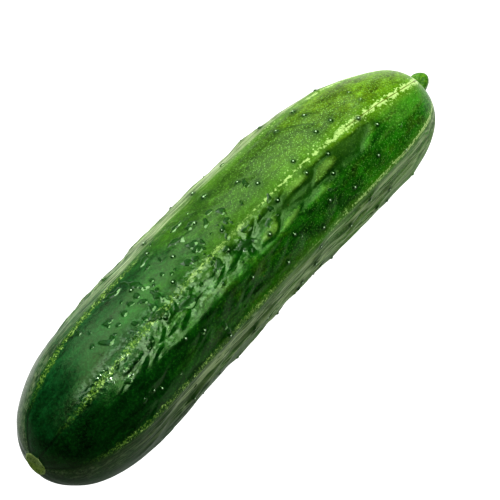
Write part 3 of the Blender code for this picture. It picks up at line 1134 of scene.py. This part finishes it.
# Each crest, trough and fold line has its middle, and how close to it it is full and gone
FIRST_CREST, SECOND_CREST_WIDTH = (10, 1.5, 5), (2, 6)
FIRST_TROUGH, SECOND_TROUGH = (4, 1, 3), (16, 1.5, 4)
PALE_FOLD, DARK_FOLD = (0.47, 0.010, 0.030), (0.40, 0.015, 0.045)
SECOND_CREST_ALONG = (0.50, 0.75, 22, 32)
COMBED_CONTOUR = (0.38, 0.62, 0.12, 0.62)
FAR_COMBED_CONTOUR, FAR_PALER_ALONG = (0.42, 0.60, 0.15, 0.80), (0.50, 0.70, 0, 0.12)
CREST_CONTOUR = (0.40, 0.60, 0, 0.62)

crest_side = near_flank + (patches - 0.5) * CREST_SWAY
second_crest = share.fade(*SECOND_CREST_ALONG)
crests = crest_side.near(*FIRST_CREST).most(crest_side.near(second_crest, *SECOND_CREST_WIDTH))
troughs = crest_side.near(*FIRST_TROUGH).most(crest_side.near(*SECOND_TROUGH))
folds = skin_finish.cloud(place * FOLD_SQUEEZE, FOLD_SIZE, detail=2)
combed = streaks.fade(*COMBED_CONTOUR)
far_combed = streaks.fade(*FAR_COMBED_CONTOUR) + share.fade(*FAR_PALER_ALONG)
# Pale flanks with painted reflection, painted highlights on crests and fold lines, painted shade in troughs
for mask, colour in (
    (near_side * combed, NEAR_FLANK_PALE_AND_REFLECTION),
    (near_side * crests * streaks.fade(*CREST_CONTOUR), CREST_PAINTED_HIGHLIGHT),
    (near_side * troughs * 0.5, TROUGH_PAINTED_SHADE),
    (far_side * far_combed, FAR_FLANK_PALE_AND_REFLECTION),
    (flanks * folds.near(*PALE_FOLD) * 0.5, CREST_PAINTED_HIGHLIGHT),
    (flanks * folds.near(*DARK_FOLD) * 0.4, FOLD_SHADOW),
):
    ground = skin_finish.blend(mask, ground, colour)
print("nodes with the flanks:", len(skin_finish.tree.nodes))

# %% [markdown]
# Near the stem the skin is full of tiny pale dots. Each is a cell of a Voronoi texture, coloured only close
# to the cell's own middle. A random value for each cell leaves some of them out, which no regular grid of
# dots could do. The deep panels get a few larger, crisper ones as well.

# %% Pale dots
# For each kind of dot: the size of its cells, its reach in a cell, and the share of the cells that have one
SOFT_DOTS = (0.00064, 0.44, 0.9)
SOFT_DOT_COLOUR = (0.19, 0.37, 0.09)
SOFT_DOTS_ALONG = (0.35, 0.80, 0.04, 1.0)
SOFT_DOTS_GRAIN = (0.30, 0.55)
SOFT_DOTS_SUNNY, SOFT_DOTS_DEEP = 0.85, 0.50
CRISP_DOTS = (0.00095, 0.30, 0.55)
CRISP_DOT_COLOUR = (0.20, 0.42, 0.13)
CRISP_DOTS_ALONG = (0.45, 0.75, 0, 0.55)
DOT_SOFTNESS = 0.4
CHANCE_SOFTNESS = 0.05


def dots(size, reach, kept):
    """A mask of small round dots. Kept is the share of the cells that carry one."""
    cells = skin_finish.node("ShaderNodeTexVoronoi", None, {"Vector": place, "Scale": 1 / size})
    chance = skin_finish.node("ShaderNodeSeparateColor", None, {0: cells.beside("Color")})
    lot = chance.fade(1 - kept - CHANCE_SOFTNESS, 1 - kept + CHANCE_SOFTNESS)
    return cells.fade(reach, reach * DOT_SOFTNESS) * lot


soft_dots = dots(*SOFT_DOTS) * share.fade(*SOFT_DOTS_ALONG) * grain.fade(*SOFT_DOTS_GRAIN)
soft_dots = soft_dots * (SOFT_DOTS_SUNNY - deep_shaded_part * (SOFT_DOTS_SUNNY - SOFT_DOTS_DEEP))
crisp_dots = dots(*CRISP_DOTS) * deep_shaded_part * share.fade(*CRISP_DOTS_ALONG)
ground = skin_finish.blend(soft_dots, ground, SOFT_DOT_COLOUR)
ground = skin_finish.blend(crisp_dots, ground, CRISP_DOT_COLOUR)
print("dots:", 1000 * SOFT_DOTS[0], "and", 1000 * CRISP_DOTS[0], "mm apart")

# %% [markdown]
# A stripe isn't a painted line. Its skin is a little greener round about, it ends in a crease at the blossom
# scar that is painted in dark shade, and its edges fray. So the stripes share four kinds of noise: a slow
# waver, a fray for the edges, beads that break a line up, and flecks for the finest marks. Beyond the top
# stripe, on the side of the sunny panel, the stripes show only near the ends.

# %% Halo and painted shade in the creases along the stripes
HALO_GREEN = (0.095, 0.25, 0.008)
CREASE_PAINTED_SHADE = (0.001, 0.010, 0.002)
HALO_REACH, HALO_ALONG = (0.006, 0.001), (0.3, 0.7, 0, 0.4)
CREASE_EDGE, CREASE_ALONG = (0.0006, 0.0002), (0.09, 0.04, 0, 0.7)
CLEAR_SIDE = (-15, -5)
WAVER_SIZE = 0.006
BEAD_SIZE = 0.0018
FRAY_SIZE = 0.0011
FLECK_SIZE = 0.0008
waver = skin_finish.cloud(place, WAVER_SIZE)
fray = skin_finish.cloud(place, FRAY_SIZE, detail=3, roughness=0.7)
beads = skin_finish.cloud(place, BEAD_SIZE, detail=2)
flecks = skin_finish.cloud(place, FLECK_SIZE, detail=3, roughness=0.75)
clear_side = past_top.fade(*CLEAR_SIDE)
halo = nearest_stripe.fade(*HALO_REACH) * share.fade(*HALO_ALONG)
shaded_end_creases = nearest_stripe.fade(*CREASE_EDGE) * share.fade(*CREASE_ALONG)
coloured = skin_finish.blend(halo, ground, HALO_GREEN)
# Painted dark shade in the crease where each stripe runs into the scar
coloured = skin_finish.blend(shaded_end_creases, coloured, CREASE_PAINTED_SHADE)
print("the halo reaches", 1000 * HALO_REACH[0], "mm from a stripe")

# %% [markdown]
# In the blossom half each stripe is a ragged band of flecks, dull ones first and bright ones in clumps on
# top of them, on a slightly darker ground. The band's edge is the distance to the stripe with fray and
# waver added. Through the middle of the fruit only thin, faint flecks are left.

# %% Flecks of the blossom half and the middle
BAND_DARK = (0.02, 0.07, 0.006)
FLECK_DULL = (0.10, 0.19, 0.03)
FLECK_BRIGHT = (0.29, 0.43, 0.13)
BAND_FRAY = 0.0030
BAND_WAVER = 0.0022
BAND_EDGE = (0.001385, 0.000615)
BLOSSOM_BAND_SHARES = (0.03, 0.12, 0.46, 0.60)
BLOSSOM_BAND_ALL_ROUND = (0.40, 0.30)
THIN_FRAY, THIN_EDGE = 0.0012, (0.0006, 0.0002)
THIN_SHARES = (0.30, 0.45, 0.70, 0.84)
CLUMP_SIZE = 0.0014
THIN_CONTOUR, DULL_CONTOUR = (0.44, 0.54), (0.49, 0.55)
CLUMP_CONTOUR, BRIGHT_CONTOUR, BRIGHT_ALONG = (0.53, 0.59), (0.44, 0.54), (0.07, 0.14)

clumps = skin_finish.cloud(place, CLUMP_SIZE, detail=3, roughness=0.7)
band_edge = nearest_stripe + (fray - 0.5) * BAND_FRAY + (waver - 0.5) * BAND_WAVER
blossom_part = share.within(*BLOSSOM_BAND_SHARES) * clear_side.most(share.fade(*BLOSSOM_BAND_ALL_ROUND))
band = band_edge.fade(*BAND_EDGE) * blossom_part
thin_flecks = (nearest_stripe + (fray - 0.5) * THIN_FRAY).fade(*THIN_EDGE)
thin_flecks = thin_flecks * beads.fade(*THIN_CONTOUR) * share.within(*THIN_SHARES)
bright_flecks = band * clumps.fade(*CLUMP_CONTOUR) * flecks.fade(*BRIGHT_CONTOUR)
bright_flecks = bright_flecks * share.fade(*BRIGHT_ALONG)
for mask, colour in (
    (band * 0.4, BAND_DARK),
    (band * flecks.fade(*DULL_CONTOUR), FLECK_DULL),
    (thin_flecks * 0.7, FLECK_DULL),
    (bright_flecks, FLECK_BRIGHT),
):
    coloured = skin_finish.blend(mask, coloured, colour)
print("nodes with the flecks:", len(skin_finish.tree.nodes))

# %% [markdown]
# Towards the stem the stripe closes up again, first to a dotted line with stray dots beside it, and then to
# a band that is widest and palest near the stem. Its width is a function of the place along the fruit. A
# fine brown thread runs down its middle.

# %% Pale bands of the stem half
BAND_PALE = (0.44, 0.62, 0.23)
THREAD_BROWN = (0.10, 0.11, 0.010)
DOTTED_FRAY, DOTTED_EDGE, DOTTED_CONTOUR = 0.0014, (0.0006, 0.0003), (0.46, 0.54)
DOTTED_SHARES, DOTTED_TURNS = (0.34, 0.42, 0.68, 0.76), (40, 30)
DOTTED_ALONG = (0.45, 0.62, 0.25, 0.55)
STRAYS, STRAY_REACH, STRAY_ALONG = (0.0011, 0.42, 0.5), (0.0042, 0.0018), (0.55, 0.72, 0, 0.7)
STEM_BAND_FRAY, STEM_BAND_WAVER = 3.0, 1.8
STEM_BAND_WIDTH_ALONG = (0.62, 0.80, 0.0003, 0.0011)
STEM_BAND_EDGE = (1.25, 0.75)
STEM_BAND_BEGINS, STEM_BAND_ALL_ROUND = (0.56, 0.66), (0.76, 0.84)
STEM_BAND_ALONG = (0.60, 0.84, 0.4, 0.9)
GAP_CONTOUR, FEWER_GAPS_ALONG = (0.38, 0.47), (0.82, 0.64, 0, 0.08)
SPECKLE_CONTOUR, SOLID_ALONG = (0.38, 0.52, 0.35, 1.0), (0.78, 0.88)
THREAD_WAVER, THREAD_EDGE, THREAD_ALONG = 0.0004, (0.00030, 0.00012), (0.76, 0.83, 0, 0.75)

dotted_line = (nearest_stripe + (fray - 0.5) * DOTTED_FRAY).fade(*DOTTED_EDGE) * beads.fade(*DOTTED_CONTOUR)
dotted_line = dotted_line * share.within(*DOTTED_SHARES) * clear_side * past_top.fade(*DOTTED_TURNS)
strays = dots(*STRAYS) * nearest_stripe.fade(*STRAY_REACH) * share.fade(*STRAY_ALONG)
stem_edge = nearest_stripe / share.fade(*STEM_BAND_WIDTH_ALONG)
stem_edge = stem_edge + (fray - 0.5) * STEM_BAND_FRAY + (waver - 0.5) * STEM_BAND_WAVER
stem_part = share.fade(*STEM_BAND_BEGINS) * clear_side.most(share.fade(*STEM_BAND_ALL_ROUND))
stem_band = stem_edge.fade(*STEM_BAND_EDGE) * stem_part
stem_band = stem_band * (beads - share.fade(*FEWER_GAPS_ALONG)).fade(*GAP_CONTOUR)
stem_band = stem_band * flecks.fade(*SPECKLE_CONTOUR).most(share.fade(*SOLID_ALONG))
thread = (nearest_stripe + (waver - 0.5) * THREAD_WAVER).fade(*THREAD_EDGE) * share.fade(*THREAD_ALONG)
for mask, colour in (
    (dotted_line * share.fade(*DOTTED_ALONG), BAND_PALE),
    (strays, BAND_PALE),
    (stem_band * share.fade(*STEM_BAND_ALONG), BAND_PALE),
    (thread, THREAD_BROWN),
):
    coloured = skin_finish.blend(mask, coloured, colour)
print("nodes with the stripes painted:", len(skin_finish.tree.nodes))

# %% [markdown]
# A fruit picks up small marks as it grows: here a few brown specks, and one fine dark scratch on the sunny
# panel. The specks are dots that leave most of their cells out. The scratch is a slanting line: the turn at
# which it lies grows with the place along the fruit.

# %% Specks and a scratch
SPECK_BROWN = (0.18, 0.11, 0.03)
SPECKS, SPECKS_ALONG = (0.0055, 0.10, 0.25), (0.4, 0.5, 0, 0.45)
SCRATCH_DARK = (0.02, 0.06, 0.006)
SCRATCH_SHARE = 0.727
SCRATCH_TURN = -28
SCRATCH_SLOPE = 450
SCRATCH_WIDTH = (0.7, 1.6)
SCRATCH_SHARES = (0.722, 0.732, 0.760, 0.770)
specks = dots(*SPECKS) * share.fade(*SPECKS_ALONG)
scratch_turn = (share - SCRATCH_SHARE) * SCRATCH_SLOPE
scratch = (turn - scratch_turn).near(SCRATCH_TURN, *SCRATCH_WIDTH) * share.within(*SCRATCH_SHARES)
coloured = skin_finish.blend(specks, coloured, SPECK_BROWN)
coloured = skin_finish.blend(scratch * 0.8, coloured, SCRATCH_DARK)
print("scratch at", SCRATCH_TURN, "degrees, share", SCRATCH_SHARE)

# %% [markdown]
# On the slope beside the top stripe the puckers show in colour too: painted light on their tops, where the
# light falls on them, and painted shade in the creases between them. The height of the puckers was stored
# on the mesh, so the painted light and shade follow the very same pillows as the shape.

# %% Painted light and shade on the puckers
PUCKER_TOP_PAINTED_LIGHT = (0.20, 0.36, 0.07)
PUCKER_CREASE_PAINTED_SHADE = (0.004, 0.05, 0.003)
SLOPE_TURNS, SLOPE_ALONG = (2, 8, 24, 30), (0.35, 0.55)
# Heights of the puckers between which the colour fades in
TOP_HEIGHTS = (-0.00012, 0.0002)
CREASE_HEIGHTS = (-0.00005, -0.0003)
TOP_STRENGTH, TOP_GRAIN = 0.58, 1.5
puckered = skin_finish.stored("puckered")
on_slope = past_top.within(*SLOPE_TURNS) * share.fade(*SLOPE_ALONG)
lit_pillow_tops = puckered.fade(*TOP_HEIGHTS) * on_slope * (TOP_STRENGTH + (grain - 0.5) * TOP_GRAIN)
shaded_pillow_creases = puckered.fade(*CREASE_HEIGHTS) * on_slope * 0.7
# Painted light on the pillow tops and painted shade in the creases between them
coloured = skin_finish.blend(lit_pillow_tops, coloured, PUCKER_TOP_PAINTED_LIGHT)
coloured = skin_finish.blend(shaded_pillow_creases, coloured, PUCKER_CREASE_PAINTED_SHADE)
print("puckers are painted from", SLOPE_TURNS[0], "to", SLOPE_TURNS[-1], "degrees past the top stripe")

# %% [markdown]
# The skin is darker round each wart, most of all in a ring close to it, partly its own colour and partly
# painted shade, and the knob itself has a painted highlight on its tip.
# The distance to the nearest wart was stored on the mesh, where the faces are fine enough to carry it, so
# three steps of one distance paint every wart.

# %% Painted shade round the warts and painted highlights on their tips
WART_DARK_AND_SHADE = (0.004, 0.035, 0.003)
WART_TIP_HIGHLIGHT = (0.48, 0.66, 0.42)
WART_SHADE_REACH = (0.0045, 0.0010)
WART_RING_REACH = (0.0016, 0.0006)
WART_HIGHLIGHT_REACH = (0.00038, 0.00022)
WART_PAINT_ENDS = (0.88, 0.84)
wart_distance = skin_finish.stored("wart_distance")
wart_part = share.fade(*WART_PAINT_ENDS)
# Darker green with painted shade round each knob, then a painted highlight on its tip
for reach, strength, colour in (
    (WART_SHADE_REACH, 0.3, WART_DARK_AND_SHADE),
    (WART_RING_REACH, 0.8, WART_DARK_AND_SHADE),
    (WART_HIGHLIGHT_REACH, 0.9, WART_TIP_HIGHLIGHT),
):
    coloured = skin_finish.blend(wart_distance.fade(*reach) * wart_part * strength, coloured, colour)
print("the dark ring of a wart reaches", 1000 * WART_RING_REACH[0], "mm from its middle")

# %% [markdown]
# The two ends have finishes of their own. Round the stem the skin rises to a pale lip, partly its own paler
# colour and partly a painted highlight along its edge, with a darker brown ring inside it. The scar of the
# blossom is a yellow-green disc, darker where its cork has cracked, with pale grains and a pale rim. All of
# them are steps of the radius, frayed so that no edge is a perfect circle.

# %% The lip round the stem and the blossom scar
LIP_PALE_AND_HIGHLIGHT = (0.28, 0.42, 0.10)
SEAT_BROWN = (0.12, 0.10, 0.04)
SCAR_GREEN = (0.24, 0.34, 0.07)
SCAR_PALE = (0.42, 0.53, 0.22)
SCAR_DARK = (0.05, 0.11, 0.015)
STEM_END_X = (0.090, 0.0945)
BLOSSOM_END_X = (-0.090, -0.094)
LIP_RADII, LIP_FRAY = (0.0104, 0.0088), 0.002
SEAT_RADII, SEAT_FRAY = (0.0084, 0.0076), 0.001
SCAR_RADII, RIM_RADII, SCAR_FRAY = (0.0046, 0.0043), (0.0034, 0.0041), 0.0008
CORK_CONTOUR, RIM_CONTOUR = (0.34, 0.52, 0, 0.9), (0.3, 0.5)
SCAR_GRAINS = (0.00055, 0.5, 0.6)

lip = (radius + (fray - 0.5) * LIP_FRAY).fade(*LIP_RADII) * x.fade(*STEM_END_X)
seat = (radius + (fray - 0.5) * SEAT_FRAY).fade(*SEAT_RADII) * x.fade(*STEM_END_X)
scar_edge = radius + (fray - 0.5) * SCAR_FRAY
scar = scar_edge.fade(*SCAR_RADII) * x.fade(*BLOSSOM_END_X)
scar_rim = scar_edge.fade(*RIM_RADII) * beads.fade(*RIM_CONTOUR)
scar_colour = skin_finish.blend(fray.fade(*CORK_CONTOUR), SCAR_DARK, SCAR_GREEN)
scar_colour = skin_finish.blend(dots(*SCAR_GRAINS) * 0.7, scar_colour, SCAR_PALE)
scar_colour = skin_finish.blend(scar_rim * 0.8, scar_colour, SCAR_PALE)
# A pale lip that is partly a painted highlight, and a darker brown ring inside it
coloured = skin_finish.blend(lip * 0.6, coloured, LIP_PALE_AND_HIGHLIGHT)
coloured = skin_finish.blend(seat * 0.8, coloured, SEAT_BROWN)
coloured = skin_finish.blend(scar, coloured, scar_colour)
print("nodes with both ends:", len(skin_finish.tree.nodes))

# %% [markdown]
# Water is clear, so it shows mostly by what it does to light. The side of a drop towards the light stays
# dark and the far side glows, where the light gathers after passing through. Clear glass would do this by
# itself, but slowly and with noise, and a baked copy of the finish would lose it. So the mesh carries how
# far out in its drop each point lies, and on which side, and this light and shade are painted into the
# colour: a painted shadow on the near side, painted light on the far side and a painted dark rim.

# %% Painted light and shade in the water
WATER_PAINTED_SHADOW = (0.006, 0.055, 0.004)
WATER_RIM_PAINTED_SHADE = (0.003, 0.035, 0.003)
WATER_PAINTED_LIGHT = (0.24, 0.42, 0.18)
# How far out in a drop the water ends, and between which reaches its rim lies
WATER_EDGE = (1.03, 0.92)
RIM_REACHES = (0.5, 0.85, 0.95, 1.03)
SIDE_SWAY = 1.6
DARK_SIDE, LIGHT_SIDE = (0.4, 0.0, 0, 0.85), (0.45, 0.62, 0, 0.7)
water_reach = skin_finish.stored("water_reach")
puddles = water_reach.fade(*WATER_EDGE)
rims = water_reach.within(*RIM_REACHES)
uneven_side = skin_finish.stored("water_side") + (beads - 0.5) * SIDE_SWAY
# A painted shadow on the side towards the light, a painted dark rim and painted light on the far side
for mask, colour in (
    (puddles * uneven_side.fade(*DARK_SIDE), WATER_PAINTED_SHADOW),
    (rims * 0.5, WATER_RIM_PAINTED_SHADE),
    (puddles * uneven_side.fade(*LIGHT_SIDE), WATER_PAINTED_LIGHT),
):
    coloured = skin_finish.blend(mask, coloured, colour)
print("nodes with the water:", len(skin_finish.tree.nodes))

# %% [markdown]
# Between the drops the top of the fruit is covered with a broken film of water, too thin to have a shape.
# It follows the top stripe, wide towards the middle of the fruit and narrow near the blossom end. The beads
# and the grain break it up, and it ends where a puddle begins.

# %% A thin film of water
FILM_TURNS = (-9, -3, 17, 27)
FILM_SHARES = (0.12, 0.20, 0.50, 0.62)
END_FILM_TURNS = (-14, -8, 5, 9)
END_FILM_SHARES = (0.08, 0.12, 0.30, 0.36)
FILM_CONTOUR, FILM_WAVER = (0.41, 0.57), 0.6
FILM_STRENGTH, FILM_GRAIN = 0.7, 1.6
film = past_top.within(*FILM_TURNS) * share.within(*FILM_SHARES)
film = film.most(past_top.within(*END_FILM_TURNS) * share.within(*END_FILM_SHARES))
film = film * (beads + (waver - 0.5) * FILM_WAVER).fade(*FILM_CONTOUR)
film = film * (1 - puddles) * (FILM_STRENGTH + (grain - 0.5) * FILM_GRAIN)
print("film from share", FILM_SHARES[0], "to", FILM_SHARES[-1])

# %% [markdown]
# Wax makes the dry skin satin. It is smoother in the deep panels, at the blossom end and on the knobs, and
# duller on the flanks, the puckers and the scar. Water lies on it as a clear coat, strongest on the rims of
# the drops and in the film, and the drops' edges are real shape. A Principled shader has both: its own
# roughness for the wax and its coat for the water.

# %% Gloss, coat and grain of the skin
SATIN = 0.34
WAX_TINT = (0.62, 1.0, 0.42)
DENT_SIZE = 0.0032
BUMP_STRENGTH = 0.35
BUMP_DISTANCE = 0.00012
DENT_SHARE, GRAIN_SHARE, STREAK_SHARE = 4, 0.7, 2.5
PUDDLE_COAT, RIM_COAT, FILM_COAT = 0.08, 0.5, 0.45
OFF_FLANK_TURNS, DULL_FLANK_TURNS = (6, 0), (6, 22)
SMOOTH_KNOB_REACH = (0.0009, 0.0004)
SMOOTH_END_SHARES = (0.20, 0.08)
DULL_PUCKER_HEIGHTS = (-0.0001, 0.0002)
off_flank = near_flank.fade(*OFF_FLANK_TURNS)
# Rows of a mask and by how much it raises or lowers the roughness
ROUGHNESS_CHANGES = (
    (spots - 0.5, 0.18),
    (film, -0.20),
    (puddles, 0.45),
    (flanks, 0.12),
    (near_flank.fade(*DULL_FLANK_TURNS), 0.12),
    (wart_distance.fade(*SMOOTH_KNOB_REACH), -0.22),
    (scar, 0.40),
    (deep_shaded_part * (1 - flanks) * off_flank, -0.10),
    (share.fade(*SMOOTH_END_SHARES) * off_flank, -0.08),
    (on_slope * puckered.fade(*DULL_PUCKER_HEIGHTS), 0.25),
)
roughness = SATIN
for mask, change in ROUGHNESS_CHANGES:
    roughness = roughness + mask * change
dents = skin_finish.cloud(squeezed, DENT_SIZE, detail=3, roughness=0.6)
surface = dents * DENT_SHARE + fray + grain * GRAIN_SHARE + flanks * streaks * STREAK_SHARE
surface = surface * (1 - puddles)
skin_finish.dress(skin, {
    "Base Color": coloured,
    "Roughness": roughness,
    "Coat Weight": puddles * PUDDLE_COAT + rims * RIM_COAT + film * FILM_COAT,
    "Coat Roughness": 0.03,
    "Coat IOR": 1.5,
    "IOR": 1.40,
    "Specular Tint": WAX_TINT,
    "Normal": skin_finish.bump(BUMP_STRENGTH, BUMP_DISTANCE, surface),
})
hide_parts("fruit")
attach(skin, "root")

# %% [markdown]
# The stem is the stub of the stalk that the fruit hung on: a wide foot with five ridges, which leave the
# stub almost round towards its tip, and a bend. It could be a tube on a curve, but the ridges fade along
# it, so it is a stack of rings instead. Each ring is turned a little further than the last one, and its
# radius comes from a short profile. The foot stands a hair above its seat, as in the solid.

# %% Shape of the stem
STEM_GAP = 0.0003
STEM_BEND = math.radians(52)
STEM_BEND_RADIUS = 0.0088
STEM_LEAN = math.radians(54)
STEM_SIDES = 60
STEM_RINGS = 40
STEM_RIDGES = 5
RIDGE_AT_FOOT = 0.26
RIDGE_AT_TIP = 0.07
FOOT_SHARE = 0.3
STEM_RIDGE_TURN = math.radians(30)
CUT_RINGS = (0.8, 0.4)
# Pairs of share along the stem and radius
STEM_PROFILE = (
    (0.0, 0.005),
    (0.07, 0.0048),
    (0.16, 0.0041),
    (0.3, 0.0036),
    (0.48, 0.0034),
    (0.66, 0.0034),
    (0.78, 0.0031),
    (0.88, 0.0026),
    (0.95, 0.0019),
    (1.0, 0.0009),
)


def stem_ring(share, radius):
    """The points of one ring: the share along the stem turns it, and the ridges fade as the foot ends."""
    outward = Vector((1, 0, 0))
    sideways = Vector((0, math.cos(STEM_LEAN), math.sin(STEM_LEAN)))
    turned = STEM_BEND * share
    centre = Vector(axis_point(LENGTH / 2 - STEM_SEAT_DEPTH)) + STEM_GAP * outward
    centre += STEM_BEND_RADIUS * (math.sin(turned) * outward + (1 - math.cos(turned)) * sideways)
    heading = math.cos(turned) * outward + math.sin(turned) * sideways
    hinge = sideways.cross(outward)
    third = hinge.cross(heading)
    ridge = RIDGE_AT_TIP + (RIDGE_AT_FOOT - RIDGE_AT_TIP) * float(smooth_step(1 - share / FOOT_SHARE))
    points = []
    for index in range(STEM_SIDES):
        around = 2 * math.pi * index / STEM_SIDES
        reach = radius * (1 + ridge * math.cos(STEM_RIDGES * (around - STEM_RIDGE_TURN)))
        points.append(centre + reach * (math.cos(around) * hinge + math.sin(around) * third))
    return points


def make_stem():
    """The stem as one closed piece, from its foot to its cut end."""
    shares, radii = zip(*STEM_PROFILE)
    places = [(number / STEM_RINGS, 1) for number in range(STEM_RINGS + 1)] + [(1, cut) for cut in CUT_RINGS]
    mesh = bmesh.new()
    rings = []
    for share, cut in places:
        radius = cut * float(np.interp(share, shares, radii))
        rings.append([mesh.verts.new(point) for point in stem_ring(share, radius)])
    for ring, following in zip(rings, rings[1:]):
        for index in range(STEM_SIDES):
            after = (index + 1) % STEM_SIDES
            mesh.faces.new((ring[index], ring[after], following[after], following[index]))
    mesh.faces.new(reversed(rings[0]))
    mesh.faces.new(rings[-1])
    bmesh.ops.recalc_face_normals(mesh, faces=mesh.faces)
    return smooth_piece("stalk", mesh)


stalk = make_stem()
print("stem:", len(stalk.data.vertices), "corners")

# %% [markdown]
# The stem is fibrous and dry, a fresher green than the skin, with no water on it. One fine cloud makes both
# its colour and its bump, so that the pale fibres are also the raised ones.

# %% Finish of the stem
STEM_DARK = (0.035, 0.14, 0.005)
STEM_FRESH = (0.11, 0.26, 0.014)
FIBRE_SIZE, FIBRE_CONTOUR = 0.0008, (0.35, 0.65)
FIBRE_BUMP = (0.4, 0.0002)
stem_finish = Finish("stem_green")
stem_place = stem_finish.node("ShaderNodeTexCoord", output="Object")
fibres = stem_finish.cloud(stem_place, FIBRE_SIZE, detail=3)
stem_finish.dress(stalk, {
    "Base Color": stem_finish.blend(fibres.fade(*FIBRE_CONTOUR), STEM_DARK, STEM_FRESH),
    "Roughness": 0.5,
    "Specular IOR Level": 0.3,
    "Normal": stem_finish.bump(*FIBRE_BUMP, fibres),
})
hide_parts("stem")
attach(stalk, "root")

# %% [markdown]
# The fruit lies on plain white, with no horizon and no shadow. A floor that glows does that: it looks white
# to the camera whatever falls on it. But a wet skin mirrors the floor as well, and a white mirror image
# would lay a grey veil over the dark end. So only the camera's own rays see pure white. All others see a
# dimmer floor, and a darker one still past the blossom end.

# %% Floor
FLOOR_SIZE = 6
FLOOR_WHITE = (1, 1, 1)
FLOOR_LIT = (0.95, 0.95, 0.95)
FLOOR_DIM = (0.30, 0.33, 0.30)
FLOOR_DIM_X = (0.02, -0.14)
FLOOR_GLOW = 0.85
floor_mesh = bmesh.new()
bmesh.ops.create_grid(floor_mesh, x_segments=1, y_segments=1, size=FLOOR_SIZE)
floor = smooth_piece("floor", floor_mesh)
floor_finish = Finish("floor_white")
camera_sees = floor_finish.node("ShaderNodeLightPath", output="Is Camera Ray")
floor_place = floor_finish.node("ShaderNodeTexCoord", output="Object")
floor_x = floor_finish.node("ShaderNodeSeparateXYZ", None, {0: floor_place}, output="X")
others_see = floor_finish.blend(floor_x.fade(*FLOOR_DIM_X), FLOOR_LIT, FLOOR_DIM)
floor_finish.dress(floor, {
    "Base Color": (0.1, 0.1, 0.1),
    "Roughness": 0.8,
    "Emission Color": floor_finish.blend(camera_sees, others_see, FLOOR_WHITE),
    "Emission Strength": FLOOR_GLOW,
})

# %% [markdown]
# A glossy round thing is drawn by what it mirrors, so the lights are large soft boxes: one behind it for
# the broad sheen along the top, one nearer the camera, one overhead to fill in. A last one is as small as a
# bulb, and gives each knob and drop its spark. A weak, even sky keeps the shadows from going black, and the
# picture is developed with plain colours and more contrast.

# %% Lights
# Rows of name, place, size across and size along, and power in watts. All of them look at the origin.
SOFTBOXES = (
    ("back_softbox", (0.38, 0.86, 0.97), (1.1, 0.9), 14),
    ("sheen_softbox", (0.25, -0.30, 1.0), (0.6, 0.35), 4),
    ("overhead_softbox", (-0.05, 0.35, 1.35), (1.0, 0.6), 8),
    ("spark", (0.06, -0.14, 1.25), (0.06, 0.06), 1.5),
)
SKY_STRENGTH = 0.05

for name, light_place, (across, lengthwise), power in SOFTBOXES:
    softbox = add_to_scene(name, bpy.data.lights.new(name, "AREA"))
    softbox.data.shape = "RECTANGLE"
    softbox.data.size = across
    softbox.data.size_y = lengthwise
    softbox.data.energy = power
    look_at(softbox, Vector(light_place), Vector((0, 0, 0)))

studio = bpy.data.worlds.new("studio")
studio.use_nodes = True
sky = studio.node_tree.nodes["Background"]
sky.inputs["Color"].default_value = (1, 1, 1, 1)
sky.inputs["Strength"].default_value = SKY_STRENGTH
bpy.context.scene.world = studio
bpy.context.scene.view_settings.view_transform = "Standard"
bpy.context.scene.view_settings.look = "High Contrast"
print("lights:", len(SOFTBOXES), "with", sum(row[-1] for row in SOFTBOXES), "watts in all")
